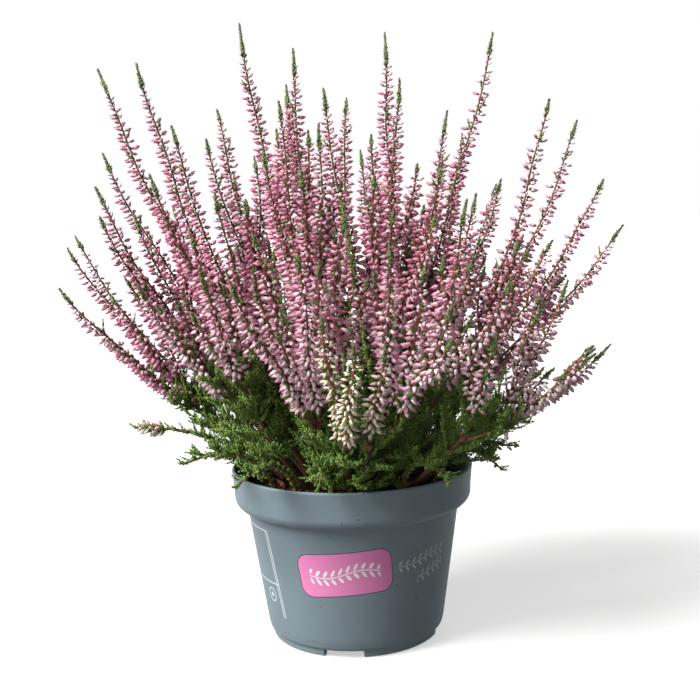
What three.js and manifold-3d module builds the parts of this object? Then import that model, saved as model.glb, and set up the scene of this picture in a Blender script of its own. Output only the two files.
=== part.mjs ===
// Potted heather (Calluna vulgaris): a slate-grey nursery pot filled with peat, woody leafy stems that
// each stand in a hole of their own, and the flower sprays that sit on them.
// Millimetres, +Z up, origin on the pot's axis at the level of its foot.

import * as THREE from 'three';
import { mergeVertices } from 'three/addons/utils/BufferGeometryUtils.js';
import Module from 'manifold-3d';

const wasm = await Module();
wasm.setup();

// ---------- Driving dimensions ----------

// Pot
const POT_SIDES = 32;
const RIM_RADIUS = 60;
const POT_HEIGHT = 85;
const BAND_HEIGHT = 19; // the deep rim band
const BAND_WAIST_RADIUS = 59; // the band, just above where it rounds inward
const BAND_ROUNDING = 9; // height over which the band rounds in to the body
const BAND_SHOULDER = { radius: 57.6, rise: 3.2 }; // half-way round, above the band's lower edge
const BAND_INSIDE = { radius: 56.1, rise: 4 }; // the same place on the inside
const BODY_INSIDE_RISE = 1; // how far above the band's lower edge the body's inside ends
const LIP_WIDTH = 1.8;
const BODY_TOP_RADIUS = 53;
const BODY_FOOT_RADIUS = 44;
const FOOT_FILLET = 5; // height of the slope between the body and the foot ring
const FOOT_RADIUS = 41;
const FOOT_RING_WIDTH = 2.4;
const FLOOR_HEIGHT = 4; // underside of the floor above the foot ring
const WALL = 1.3;
const NOTCH_COUNT = 4;
const NOTCH_WIDTH = 19;
const NOTCH_HEIGHT = 3.4;
const NOTCH_DEPTH = 12; // in from the widest part of the foot
const FRONT_NOTCH = THREE.MathUtils.degToRad(-99); // azimuth of the front one, left of the middle
const DRAIN_RADIUS = 4;
const DRAIN_SIDES = 8;
const DRAIN_CENTRE_RADIUS = 32;

// Soil
const SOIL_TOP = 76;
const SOIL_SIDES = 16;
const SOIL_SHOULDER = { radius: 53.3, height: 69.2 }; // where it widens under the rim band
const SOIL_EDGE = { radius: 56, height: 74.5 };
const SOIL_CROWN_RADIUS = 30; // the lumpy ring round the middle
const SOIL_CRUMB = 1.1; // height of the lumps
const SOIL_GAP = 0.35; // between the soil and the pot, and round each stem
const SOIL_SEED = 11;

// Stems and sprays
const ROOT_SPREAD = 45; // how far out the lowest stem stands in the soil
const ROOT_TOP = SOIL_TOP + 1.6; // where a stem leaves its hole
const ROOT_DEPTH = 10;
const STEM_SIDES = 4;
const STEM_RADIUS = 1.7;
const STEM_TOP_RADIUS = 1.35;
const STEM_REACH = 42; // from the soil to the fork that carries the spray
const STEM_STEPS = 3;
const STEM_SEED = 300;
const LOW_SHOOT_STEPS = 5;
const LOW_SHOOT_ROOT = 44; // how far out a low shoot stands
const LOW_SHOOT_TOP_RADIUS = 0.8;
const LEAN_IN = THREE.MathUtils.degToRad(12); // how much lower a stem sets off than it ends
const LOWEST_START = THREE.MathUtils.degToRad(40); // above level: every stem clears the rim
const LOW_SHOOT_START = THREE.MathUtils.degToRad(68);
const LOW_SHOOT_ARCH = 32;
const SEAT_GAP = 0.3;
const FORK_SIDES = 6;
const FORK_LENGTH = 4.5; // the knuckle at the foot of a spray
const FORK_RADIUS = 2.7;
const FORK_SPREAD = 1.5; // how far off its middle a spike sets out
const FORK_SINK = 1.5; // how far below its top a spike sets out
const SPIKE_SIDES = 3;
const SPIKE_FOOT_RADIUS = 0.85;
const SPIKE_FOLLOW = 0.4; // how much a spike sets out along its stem
const SPIKE_HANDLES = { low: 0.3, high: 0.34 }; // shares of its length that shape its curve
const SPIKE_BARE = 12; // above the fork, before the first bud
const SPIKE_TIP_LENGTH = 14; // the scaly green tip
const SPIKE_TIP_SWELL = 0.7; // share of the tip's length above its widest place
const SPIKE_TIP_RADIUS = 1.9;
const TIP_SCALE = 1.6; // how far the scales of the green tip stand out
const UPTURN = 0.4; // how much a spike's end turns to the vertical
const SPRAY_SEED = 100;

// Flower buds, in whorls of three, larger than life so that they cover the spike
const WHORL_STEP = 14;
const WHORL_HEIGHT = 4.4;
const WHORL_RADIUS = 1.7;
const WHORL_TURN = -1.2; // from one whorl to the next, the way round that keeps the wall between convex
const BUD_REACH = 8.8; // from the middle of the rachis
const BUD_TAPER = 0.72; // how long the highest buds are beside the lowest
const BUD_TRIES = [1, 0.75, 0.55]; // shares of its reach that a bud tries until it is clear
const BUD_WIDTH = 1.5; // half a bud's width, for keeping clear
const BUD_DROOP = { least: 0.12, more: 0.3 };

// Leafy side shoots
const SHOOT_LENGTH = 23;
const SHOOT_RADIUS = 1.15;
const SHOOT_RUNGS = [[0.16, 0.75], [0.5, 1], [0.76, 0.8]]; // [part of its length, share of its radius]
const SHOOT_WIDTH = 2.6; // half the width over its leaves
const SHOOT_BARE = 3.5; // next to the stem
const SHOOT_SPREAD = 0.85; // angle between a shoot and its stem
const SHOOT_SWAY = 0.3; // how much that angle varies
const SHOOT_LIFT = 0.12; // how much a shoot turns up
const SHORT_SHOOT = 0.7; // how long the shoots of a second try are
const LEAF_LENGTH = 2.9;

// Keeping apart
const SLIVER = 0.02;
const CLEARANCE = 0.45; // least distance between pieces of different nodes
const OWN_CLEARANCE = 0.7; // share of their widths that two strands of one node keep between them
const RIM_INSIDE = 3; // from the rim's outside to the room above the soil
const PATH_SHARES = [0, 0.2, 0.4, 0.6, 0.8, 1]; // places along a piece that are tried against the pot

// ---------- Where the spikes end ----------
// Each spray is a list of spike tips [x, y, z].

const PINK_SPRAYS = [
  // low on the left
  [[-138, -10, 177], [-138, 10, 196], [-140, 35, 201]],
  [[-115, -25, 225], [-109, -45, 211], [-101, -10, 213]],
  [[-122, 30, 285], [-119, 15, 242], [-98, 5, 284]],
  [[-92, -60, 182], [-66, -70, 203], [-60, -90, 189]],
  [[-85, -50, 229], [-79, -20, 252], [-55, -65, 220]],
  [[-69, 30, 248], [-65, 50, 264], [-62, 92, 232]],
  // the middle
  [[-48, 10, 302], [-23, 20, 291], [-29, -15, 262]],
  [[-28, 40, 275], [-30, 70, 272], [3, 50, 268]],
  [[-35, -45, 240], [-18, -70, 231], [-10, -40, 250]],
  [[-8, -10, 268], [28, -10, 271], [45, -40, 231]],
  [[23, 25, 298], [53, 20, 258], [79, 40, 298]],
  // the right
  [[64, 55, 248], [85, 82, 221], [85, 60, 224]],
  [[102, 10, 261], [123, 45, 253], [125, -5, 221], [141, 20, 199]],
  [[103, -30, 175], [124, -25, 144], [98, -52, 136]],
  [[58, -55, 216], [52, -75, 214], [68, -90, 181]],
  // the front
  [[18, -95, 198], [33, -100, 191], [43, -105, 175]],
  [[-38, -85, 204], [-47, -100, 185], [-18, -117, 197], [0, -90, 210]],
  [[64, -80, 159], [75, -62, 117]],
  // the back
  [[112, 88, 183], [96, 100, 160]],
  [[-95, 78, 215], [-110, 66, 172], [-72, 108, 170]],
  [[-30, 112, 205], [-12, 119, 165], [-42, 118, 152]],
  [[34, 108, 200], [55, 118, 160], [10, 90, 243], [56, 86, 238]],
];

const CREAM_SPRAYS = [
  [[-10, -108, 169], [2, -116, 158]],
  [[15, -103, 158], [5, -78, 121]],
];

// Leafy shoots without flowers: [azimuth in degrees, reach from the axis, height of the tip]
const LOW_SHOOTS = [
  [191, 104, 110],
  [214, 92, 99],
  [235, 88, 93],
  [259, 78, 92],
  [300, 84, 92],
  [334, 78, 88],
  [8, 92, 100],
  [62, 88, 94],
  [120, 88, 97],
];

// ---------- Materials ----------

function material(color, roughness) {
  return new THREE.MeshStandardMaterial({ color, roughness, metalness: 0, flatShading: true });
}

const POT_PLASTIC = material(0x66747c, 0.5);
const PEAT = material(0x35231a, 0.95);
const FOLIAGE = material(0x4c6b2c, 0.7);
const PINK = material(0xd98ba6, 0.6);
const CREAM = material(0xe6dfc0, 0.6);

// ---------- Helpers ----------

const EAST = new THREE.Vector3(1, 0, 0);
const NORTH = new THREE.Vector3(0, 1, 0);
const UP = new THREE.Vector3(0, 0, 1);
const point = (x, y, z) => new THREE.Vector3(x, y, z);
const between = (a, b, t) => a.clone().lerp(b, t);

// A small repeatable random function: the same seed always gives the same draws.
function randomFrom(seed) {
  let state = seed >>> 0;
  return () => {
    state = (state + 0x6d2b79f5) >>> 0;
    let t = state;
    t = Math.imul(t ^ (t >>> 15), t | 1);
    t ^= t + Math.imul(t ^ (t >>> 7), t | 61);
    return ((t ^ (t >>> 14)) >>> 0) / 4294967296;
  };
}

function heading(azimuth, elevation) {
  const flat = Math.cos(elevation);
  return point(flat * Math.cos(azimuth), flat * Math.sin(azimuth), Math.sin(elevation));
}

function elevationOf(v) {
  return Math.atan2(v.z, Math.hypot(v.x, v.y));
}

function solidFromArrays(positions, triangles) {
  const geometry = new THREE.BufferGeometry();
  geometry.setAttribute('position', new THREE.Float32BufferAttribute(positions, 3));
  geometry.setIndex(triangles);
  return solidFromGeometry(geometry);
}

function solidFromGeometry(source) {
  const geometry = source.clone();
  geometry.deleteAttribute('normal');
  geometry.deleteAttribute('uv');
  const merged = mergeVertices(geometry, 1e-4);
  const vertProperties = new Float32Array(merged.attributes.position.array);
  const triVerts = new Uint32Array(merged.index.array);
  return new wasm.Manifold(new wasm.Mesh({ numProp: 3, vertProperties, triVerts }));
}

function geometryFromSolid(solid) {
  const mesh = solid.getMesh();
  const geometry = new THREE.BufferGeometry();
  geometry.setAttribute('position', new THREE.Float32BufferAttribute(mesh.vertProperties, 3));
  geometry.setIndex(Array.from(mesh.triVerts));
  return geometry;
}

// The one outer body: slivers finer than a hair are taken out, and a small hollow that the joining
// sealed is filled in
function oneBody(solid) {
  const bodies = solid.simplify(SLIVER).decompose();
  return bodies.reduce((best, body) => (body.volume() > best.volume() ? body : best));
}

function meshFromSolid(name, solid, look) {
  const geometry = geometryFromSolid(oneBody(solid));
  geometry.computeVertexNormals();
  const out = new THREE.Mesh(geometry, look);
  out.name = name;
  return out;
}

// ---------- A tube that things grow from ----------
// Rings of `sides` corners along a curve, closed by a cap below and a point or cap above. A bud, a leaf or
// a side shoot is raised from one triangle of its wall, so it needs no joining.

const THIRDS = [120, 240, 0].map(THREE.MathUtils.degToRad);

class Tube {
  constructor(sides) {
    this.sides = sides;
    this.positions = [];
    this.triangles = [];
    this.grown = new Map();
    this.rings = 0;
  }

  addPoint(p) {
    this.positions.push(p.x, p.y, p.z);
    return this.positions.length / 3 - 1;
  }

  at(index) {
    return point(...this.positions.slice(3 * index, 3 * index + 3));
  }

  addRing(centre, normal, binormal, radius, turn = 0) {
    for (let j = 0; j < this.sides; j++) {
      const angle = turn + (2 * Math.PI * j) / this.sides;
      const corner = centre.clone();
      corner.addScaledVector(normal, radius * Math.cos(angle));
      corner.addScaledVector(binormal, radius * Math.sin(angle));
      this.addPoint(corner);
    }
    this.rings += 1;
  }

  // The three corners of one half of the wall between ring k and ring k + 1
  wall(ring, side, upper) {
    const next = (side + 1) % this.sides;
    const low = ring * this.sides;
    const high = low + this.sides;
    return upper ? [high + next, high + side, low + side] : [low + side, low + next, high + next];
  }

  frameOf(corners) {
    const [a, b, c] = corners.map((i) => this.at(i));
    const normal = b.clone().sub(a).cross(c.clone().sub(a)).normalize();
    return { a, b, c, normal };
  }

  // A side growth on one half of the wall: rungs of three corners, each at a centre with a radius, and
  // a point at its end. With leafLength set, a leaf stands on one face of each of its sides.
  grow(ring, side, upper, rungs, tip, leafLength = 0) {
    const corners = this.wall(ring, side, upper);
    const { a, b, c, normal } = this.frameOf(corners);
    const away = c.clone().sub(between(a, b, 0.5)).normalize();
    const across = normal.clone().cross(away);
    const direction = tip.clone().sub(rungs[0].centre).normalize();
    const u = away.addScaledVector(direction, -away.dot(direction)).normalize();
    const v = across.addScaledVector(direction, -across.dot(direction));
    v.addScaledVector(u, -v.dot(u)).normalize();
    const faces = [];
    let below = corners;
    rungs.forEach(({ centre, radius }, k) => {
      const rung = THIRDS.map((angle) => {
        const corner = centre.clone().addScaledVector(u, radius * Math.cos(angle));
        return this.addPoint(corner.addScaledVector(v, radius * Math.sin(angle)));
      });
      for (let i = 0; i < 3; i++) {
        const j = (i + 1) % 3;
        const halves = [[below[i], below[j], rung[j]], [below[i], rung[j], rung[i]]];
        const leafy = leafLength > 0 && k > 0 ? (i + k) % 2 : null;
        halves.forEach((face, half) => {
          faces.push(...(half === leafy ? this.leafOn(face, leafLength, direction) : [face]));
        });
      }
      below = rung;
    });
    const end = this.addPoint(tip);
    for (let i = 0; i < 3; i++) faces.push([below[i], below[(i + 1) % 3], end]);
    this.grown.set(`${ring}/${side}/${upper}`, faces);
  }

  // A leaf on a face: a three-sided thorn that leans forward
  leafOn(face, length, lean) {
    const { a, b, c, normal } = this.frameOf(face);
    const foot = a.clone().add(b).add(c).divideScalar(3);
    const tip = this.addPoint(foot.addScaledVector(normal, length).addScaledVector(lean, length));
    return [0, 1, 2].map((i) => [face[i], face[(i + 1) % 3], tip]);
  }

  // A pointed bud that stands on both halves of one side of the wall
  growBud(ring, side, tip) {
    const [c, d, a] = this.wall(ring, side, true);
    const b = this.wall(ring, side, false)[1];
    const apex = this.addPoint(tip);
    this.grown.set(`${ring}/${side}/false`, [[a, b, apex], [b, c, apex]]);
    this.grown.set(`${ring}/${side}/true`, [[c, d, apex], [d, a, apex]]);
  }

  growLeaf(ring, side, upper, length, lean) {
    this.grown.set(`${ring}/${side}/${upper}`, this.leafOn(this.wall(ring, side, upper), length, lean));
  }

  // Closed below, and above by a point or by a cap
  close(tip = null) {
    for (let ring = 0; ring < this.rings - 1; ring++) {
      for (let side = 0; side < this.sides; side++) {
        for (const upper of [false, true]) {
          const faces = this.grown.get(`${ring}/${side}/${upper}`) ?? [this.wall(ring, side, upper)];
          for (const face of faces) this.triangles.push(...face);
        }
      }
    }
    const last = (this.rings - 1) * this.sides;
    for (let side = 1; side < this.sides - 1; side++) this.triangles.push(0, side + 1, side);
    if (tip === null) {
      for (let side = 1; side < this.sides - 1; side++) {
        this.triangles.push(last, last + side, last + side + 1);
      }
    } else {
      const apex = this.addPoint(tip);
      for (let side = 0; side < this.sides; side++) {
        this.triangles.push(last + side, last + ((side + 1) % this.sides), apex);
      }
    }
    return solidFromArrays(this.positions, this.triangles);
  }
}

// ---------- Keeping the nodes apart ----------
// Everything that grows is also noted as a round-ended bar, and a new bud or shoot is only placed where
// its own bar stays clear of the bars of every other node.

const bars = [];

function noteBar(owner, strand, from, to, radius) {
  const middle = between(from, to, 0.5);
  const half = from.distanceTo(to) / 2;
  bars.push({ owner, strand, from, to, radius, middle, half });
}

function barDistance(p1, q1, p2, q2) {
  const d1 = q1.clone().sub(p1);
  const d2 = q2.clone().sub(p2);
  const r = p1.clone().sub(p2);
  const a = Math.max(d1.dot(d1), 1e-9);
  const e = Math.max(d2.dot(d2), 1e-9);
  const b = d1.dot(d2);
  const c = d1.dot(r);
  const f = d2.dot(r);
  const denominator = a * e - b * b;
  let s = denominator > 1e-9 ? THREE.MathUtils.clamp((b * f - c * e) / denominator, 0, 1) : 0;
  let t = (b * s + f) / e;
  if (t < 0 || t > 1) {
    t = THREE.MathUtils.clamp(t, 0, 1);
    s = THREE.MathUtils.clamp((b * t - c) / a, 0, 1);
  }
  return p1.clone().addScaledVector(d1, s).distanceTo(p2.clone().addScaledVector(d2, t));
}

// A bar may come near its own strand, touch its node's other strands a little, and must miss all else.
function isClear(owner, strand, from, to, radius) {
  const middle = between(from, to, 0.5);
  const half = from.distanceTo(to) / 2;
  return bars.every((bar) => {
    if (bar.owner === owner && bar.strand === strand) return true;
    const own = bar.owner === owner;
    const needed = own ? (radius + bar.radius) * OWN_CLEARANCE : radius + bar.radius + CLEARANCE;
    if (middle.distanceTo(bar.middle) > half + bar.half + needed) return true;
    return barDistance(from, to, bar.from, bar.to) > needed;
  });
}

// Is a bar of this radius clear of the pot's rim and wall, and of the soil?
function isClearOfPot(from, to, radius) {
  const room = radius + CLEARANCE;
  return PATH_SHARES.every((t) => {
    const p = between(from, to, t);
    const r = Math.hypot(p.x, p.y);
    if (r < RIM_RADIUS - RIM_INSIDE - room) return p.z > SOIL_TOP + SOIL_CRUMB + room;
    return p.z > POT_HEIGHT + room || r > RIM_RADIUS + room;
  });
}

// ---------- Pot ----------

function latheSolid(outline, sides) {
  const geometry = new THREE.LatheGeometry(outline, sides);
  geometry.rotateX(Math.PI / 2);
  return solidFromGeometry(geometry);
}

function makePot() {
  const bandBottom = POT_HEIGHT - BAND_HEIGHT;
  const outline = [
    [0, FLOOR_HEIGHT],
    [FOOT_RADIUS - FOOT_RING_WIDTH, FLOOR_HEIGHT],
    [FOOT_RADIUS - FOOT_RING_WIDTH, 0],
    [FOOT_RADIUS, 0],
    [BODY_FOOT_RADIUS, FOOT_FILLET],
    [BODY_TOP_RADIUS, bandBottom],
    [BAND_SHOULDER.radius, bandBottom + BAND_SHOULDER.rise],
    [BAND_WAIST_RADIUS, bandBottom + BAND_ROUNDING],
    [RIM_RADIUS, POT_HEIGHT],
    [RIM_RADIUS - LIP_WIDTH, POT_HEIGHT],
    [BAND_INSIDE.radius, bandBottom + BAND_INSIDE.rise],
    [BODY_TOP_RADIUS - WALL, bandBottom + BODY_INSIDE_RISE],
    [BODY_FOOT_RADIUS - WALL, FLOOR_HEIGHT + WALL],
    [0, FLOOR_HEIGHT + WALL],
  ];
  let pot = latheSolid(outline.map(([r, z]) => new THREE.Vector2(r, z)), POT_SIDES);
  for (let k = 0; k < NOTCH_COUNT; k++) {
    const turn = (2 * Math.PI * k) / NOTCH_COUNT + FRONT_NOTCH;
    const notch = new THREE.BoxGeometry(2 * NOTCH_DEPTH, NOTCH_WIDTH, 2 * NOTCH_HEIGHT);
    notch.translate(BODY_FOOT_RADIUS, 0, 0);
    notch.rotateZ(turn);
    const drain = new THREE.CylinderGeometry(DRAIN_RADIUS, DRAIN_RADIUS, 4 * WALL, DRAIN_SIDES);
    drain.rotateX(Math.PI / 2);
    drain.translate(DRAIN_CENTRE_RADIUS, 0, FLOOR_HEIGHT + WALL / 2);
    drain.rotateZ(turn);
    pot = pot.subtract(solidFromGeometry(notch)).subtract(solidFromGeometry(drain));
  }
  return pot;
}

// ---------- Soil ----------

// The height of each corner of the crown differs a little
function makeSoil(stems) {
  const random = randomFrom(SOIL_SEED);
  const flats = Math.cos(Math.PI / POT_SIDES); // the pot's flats lie a little inside its radius
  const rings = [
    [flats * (BODY_FOOT_RADIUS - WALL - SOIL_GAP), FLOOR_HEIGHT + WALL + SOIL_GAP],
    [flats * (BODY_TOP_RADIUS - WALL - SOIL_GAP), POT_HEIGHT - BAND_HEIGHT + BODY_INSIDE_RISE],
    [SOIL_SHOULDER.radius, SOIL_SHOULDER.height],
    [SOIL_EDGE.radius, SOIL_EDGE.height],
  ];
  const body = new Tube(SOIL_SIDES);
  rings.forEach(([radius, z]) => body.addRing(point(0, 0, z), EAST, NORTH, radius));
  body.addRing(point(0, 0, SOIL_TOP), EAST, NORTH, SOIL_CROWN_RADIUS);
  for (let k = 0; k < SOIL_SIDES; k++) {
    body.positions[3 * (rings.length * SOIL_SIDES + k) + 2] += SOIL_CRUMB * (2 * random() - 1);
  }
  const solid = body.close(point(0, 0, SOIL_TOP));
  return stems.reduce((rest, stem) => rest.subtract(makeHole(stem)), solid);
}

// ---------- Stems ----------

const SPRAYS = [
  ...PINK_SPRAYS.map((tips, k) => {
    const number = String(k + 1).padStart(2, '0');
    return { name: `spray_${number}`, stemName: `stem_${number}`, tips, look: PINK };
  }),
  ...CREAM_SPRAYS.map((tips, k) => {
    return { name: `cream_spray_${k + 1}`, stemName: `cream_stem_${k + 1}`, tips, look: CREAM };
  }),
];

// Two directions square to a heading in the stem's upright plane
function frameIn(stem, direction) {
  const binormal = point(-Math.sin(stem.azimuth), Math.cos(stem.azimuth), 0);
  const normal = binormal.clone().cross(direction).normalize();
  return { normal, binormal };
}

// The root is the further out, the lower the stem's spikes end
function rootFor(azimuth, elevation) {
  return heading(azimuth, 0).multiplyScalar(ROOT_SPREAD * Math.cos(elevation)).setZ(ROOT_TOP);
}

function planStem(spray) {
  const middle = middleOf(spray.tips);
  const azimuth = Math.atan2(middle.y, middle.x);
  const root = rootFor(azimuth, elevationOf(point(middle.x, middle.y, middle.z - SOIL_TOP)));
  const rise = elevationOf(middle.clone().sub(root));
  const start = heading(azimuth, Math.max(rise - LEAN_IN, LOWEST_START));
  const lean = heading(azimuth, Math.max(rise - LEAN_IN / 2, LOWEST_START));
  const fork = root.clone().addScaledVector(lean, STEM_REACH);
  const bend = root.clone().addScaledVector(start, STEM_REACH / 2);
  const curve = new THREE.QuadraticBezierCurve3(root, bend, fork);
  return { name: spray.stemName, azimuth, root, start, curve, steps: STEM_STEPS };
}

// A low shoot arches over the rim and hangs a little beyond it
function planLowShoot([degrees, reach, height], index) {
  const azimuth = THREE.MathUtils.degToRad(degrees);
  const root = heading(azimuth, 0).multiplyScalar(LOW_SHOOT_ROOT).setZ(ROOT_TOP);
  const tip = heading(azimuth, 0).multiplyScalar(reach).setZ(height);
  const start = heading(azimuth, LOW_SHOOT_START);
  const bend = root.clone().addScaledVector(start, LOW_SHOOT_ARCH);
  const curve = new THREE.QuadraticBezierCurve3(root, bend, tip);
  const name = `low_shoot_${index + 1}`;
  return { name, azimuth, root, start, curve, steps: LOW_SHOOT_STEPS, pointed: true };
}

function makeHole(stem) {
  const hole = new Tube(STEM_SIDES);
  const { normal, binormal } = frameIn(stem, stem.start);
  const radius = STEM_RADIUS + SOIL_GAP * Math.SQRT2;
  for (const depth of [ROOT_DEPTH + SOIL_GAP, -3]) {
    hole.addRing(stem.root.clone().addScaledVector(stem.start, -depth), normal, binormal, radius);
  }
  return hole.close();
}

function noteStem(stem) {
  const points = stem.curve.getPoints(stem.steps);
  for (let k = 0; k < stem.steps; k++) noteBar(stem.name, 0, points[k], points[k + 1], STEM_RADIUS);
}

// Raises a leafy side shoot from each length of the stem's wall, in the first direction that is clear
function growShoots(tube, stem, steps, random) {
  for (let ring = 1; ring <= steps; ring++) {
    const tangent = stem.curve.getTangent((ring - 0.5) / stem.steps);
    const first = Math.floor(random() * tube.sides);
    for (let attempt = 0; attempt < 2 * tube.sides; attempt++) {
      const side = (first + attempt) % tube.sides;
      const upper = attempt % 2 === 1;
      const { a, b, c, normal } = tube.frameOf(tube.wall(ring, side, upper));
      const from = a.add(b).add(c).divideScalar(3);
      const spread = SHOOT_SPREAD + SHOOT_SWAY * (random() - 0.5);
      const direction = tangent.clone().multiplyScalar(Math.cos(spread));
      direction.addScaledVector(normal, Math.sin(spread)).addScaledVector(UP, SHOOT_LIFT).normalize();
      const share = attempt < tube.sides ? 1 : SHORT_SHOOT;
      const length = SHOOT_LENGTH * share * THREE.MathUtils.lerp(0.8, 1.15, random());
      const near = from.clone().addScaledVector(direction, SHOOT_BARE);
      const tip = from.clone().addScaledVector(direction, length);
      if (!isClear(stem.name, 0, near, tip, SHOOT_WIDTH)) continue;
      if (!isClearOfPot(near, tip, SHOOT_WIDTH)) continue;
      const rungs = SHOOT_RUNGS.map(([part, wide]) => ({
        centre: from.clone().addScaledVector(direction, length * part),
        radius: SHOOT_RADIUS * wide,
      }));
      tube.grow(ring, side, upper, rungs, tip, LEAF_LENGTH);
      noteBar(stem.name, 0, near, tip, SHOOT_WIDTH);
      break;
    }
  }
}

function makeStem(stem, random) {
  const tube = new Tube(STEM_SIDES);
  const topRadius = stem.pointed ? LOW_SHOOT_TOP_RADIUS : STEM_TOP_RADIUS;
  const { normal, binormal } = frameIn(stem, stem.start);
  const end = stem.root.clone().addScaledVector(stem.start, -ROOT_DEPTH);
  tube.addRing(end, normal, binormal, STEM_RADIUS);
  const steps = stem.pointed ? stem.steps - 1 : stem.steps;
  for (let k = 0; k <= steps; k++) {
    const t = k / stem.steps;
    const frame = frameIn(stem, stem.curve.getTangent(t));
    const radius = THREE.MathUtils.lerp(STEM_RADIUS, topRadius, t);
    tube.addRing(stem.curve.getPoint(t), frame.normal, frame.binormal, radius);
  }
  growShoots(tube, stem, steps, random);
  return tube.close(stem.pointed ? stem.curve.getPoint(1) : null);
}

// ---------- Sprays ----------

function middleOf(tips) {
  const sum = tips.reduce((total, tip) => total.add(point(...tip)), point(0, 0, 0));
  return sum.divideScalar(tips.length);
}

// A spike leaves the fork on the side that its tip lies on, seen from the other tips of its spray
function planSpike(spray, stem, tip, strand) {
  const tangent = stem.curve.getTangent(1);
  const end = point(...tip);
  const apart = end.clone().sub(middleOf(spray.tips));
  apart.addScaledVector(tangent, -apart.dot(tangent)).setLength(FORK_SPREAD);
  const foot = stem.curve.getPoint(1).add(apart);
  foot.addScaledVector(tangent, SEAT_GAP + FORK_LENGTH - FORK_SINK);
  const length = foot.distanceTo(end);
  const chord = end.clone().sub(foot).divideScalar(length);
  const setOff = tangent.clone().multiplyScalar(SPIKE_FOLLOW).add(chord).normalize();
  const ending = chord.clone().addScaledVector(UP, UPTURN).normalize();
  const low = foot.clone().addScaledVector(setOff, length * SPIKE_HANDLES.low);
  const high = end.clone().addScaledVector(ending, -length * SPIKE_HANDLES.high);
  const curve = new THREE.CubicBezierCurve3(foot, low, high, end);
  const { normal } = frameIn(stem, tangent);
  return { owner: spray.name, strand, curve, normal, length: curve.getLength() };
}

function noteSpike(spike) {
  const { owner, strand, curve, length } = spike;
  const steps = Math.ceil(length / WHORL_STEP);
  const points = curve.getSpacedPoints(steps);
  for (let k = 0; k < steps; k++) noteBar(owner, strand, points[k], points[k + 1], WHORL_RADIUS);
}

// The knuckle that the spikes of a spray fork from, seated on the stem's end
function makeFork(stem) {
  const fork = new Tube(FORK_SIDES);
  const tangent = stem.curve.getTangent(1);
  const { normal, binormal } = frameIn(stem, tangent);
  const seat = stem.curve.getPoint(1).addScaledVector(tangent, SEAT_GAP);
  fork.addRing(seat, normal, binormal, STEM_TOP_RADIUS);
  fork.addRing(seat.clone().addScaledVector(tangent, FORK_LENGTH), normal, binormal, FORK_RADIUS);
  return fork.close();
}

// The rings of a spike from its foot to the green tip. A whorl is a short stretch between two rings, and
// each whorl is turned on from the one below.
function ringsOf(spike, random) {
  const { curve, length } = spike;
  const budded = length - SPIKE_BARE - SPIKE_TIP_LENGTH;
  const whorls = Math.max(2, Math.round(budded / WHORL_STEP));
  const rings = [{ at: 0, radius: SPIKE_FOOT_RADIUS }];
  for (let k = 0; k < whorls; k++) {
    const middle = SPIKE_BARE + (budded * (k + 0.5)) / whorls;
    rings.push({ at: middle - WHORL_HEIGHT / 2, radius: WHORL_RADIUS });
    rings.push({ at: middle + WHORL_HEIGHT / 2, radius: WHORL_RADIUS });
  }
  rings.push({ at: length - SPIKE_TIP_LENGTH * SPIKE_TIP_SWELL, radius: SPIKE_TIP_RADIUS });

  let { normal } = spike;
  const turned = random() * 2 * Math.PI;
  return rings.map(({ at, radius }, k) => {
    const tangent = curve.getTangentAt(at / length);
    normal = normal.clone().addScaledVector(tangent, -normal.dot(tangent)).normalize();
    const binormal = tangent.clone().cross(normal);
    const turn = turned + Math.floor((k + 1) / 2) * WHORL_TURN;
    return { at, radius, centre: curve.getPointAt(at / length), normal, binormal, turn };
  });
}

// Raises a bud on each side of a whorl, shortened or left out where it would meet another piece
function growWhorl(tube, spike, rings, index, random) {
  const { at, centre, normal, binormal, turn } = rings[index];
  const foot = between(centre, rings[index + 1].centre, 0.5);
  for (let side = 0; side < SPIKE_SIDES; side++) {
    const angle = turn + ((side + 0.5) * 2 * Math.PI) / SPIKE_SIDES;
    const direction = normal.clone().multiplyScalar(Math.cos(angle));
    direction.addScaledVector(binormal, Math.sin(angle));
    direction.addScaledVector(UP, -BUD_DROOP.least - BUD_DROOP.more * random()).normalize();
    const share = THREE.MathUtils.lerp(1, BUD_TAPER, at / spike.length);
    const reach = BUD_REACH * share * THREE.MathUtils.lerp(0.9, 1.1, random());
    const from = foot.clone().addScaledVector(direction, WHORL_RADIUS);
    const tips = BUD_TRIES.map((part) => foot.clone().addScaledVector(direction, reach * part));
    const tip = tips.find((to) => {
      return isClear(spike.owner, spike.strand, from, to, BUD_WIDTH) && isClearOfPot(from, to, BUD_WIDTH);
    });
    if (!tip) continue;
    tube.growBud(index, side, tip);
    noteBar(spike.owner, spike.strand, from, tip, BUD_WIDTH);
  }
}

function makeSpike(spike, random) {
  const tube = new Tube(SPIKE_SIDES);
  const rings = ringsOf(spike, random);
  rings.forEach(({ centre, normal, binormal, radius, turn }) => {
    tube.addRing(centre, normal, binormal, radius, turn);
  });
  const last = rings.length - 2;
  for (let index = 1; index < last; index += 2) growWhorl(tube, spike, rings, index, random);
  const lean = spike.curve.getTangentAt(1);
  for (let side = 0; side < SPIKE_SIDES; side++) {
    tube.growLeaf(last, side, side === 1, TIP_SCALE, lean);
  }
  return tube.close(spike.curve.getPoint(1));
}

// ---------- The whole plant ----------

const heather = new THREE.Group();
const sprayStems = SPRAYS.map(planStem);
const stems = [...sprayStems, ...LOW_SHOOTS.map(planLowShoot)];
const spikes = SPRAYS.map((spray, k) => {
  return spray.tips.map((tip, strand) => planSpike(spray, sprayStems[k], tip, strand));
});

stems.forEach(noteStem);
spikes.flat().forEach(noteSpike);

heather.add(meshFromSolid('pot', makePot(), POT_PLASTIC));
heather.add(meshFromSolid('soil', makeSoil(stems), PEAT));

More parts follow.
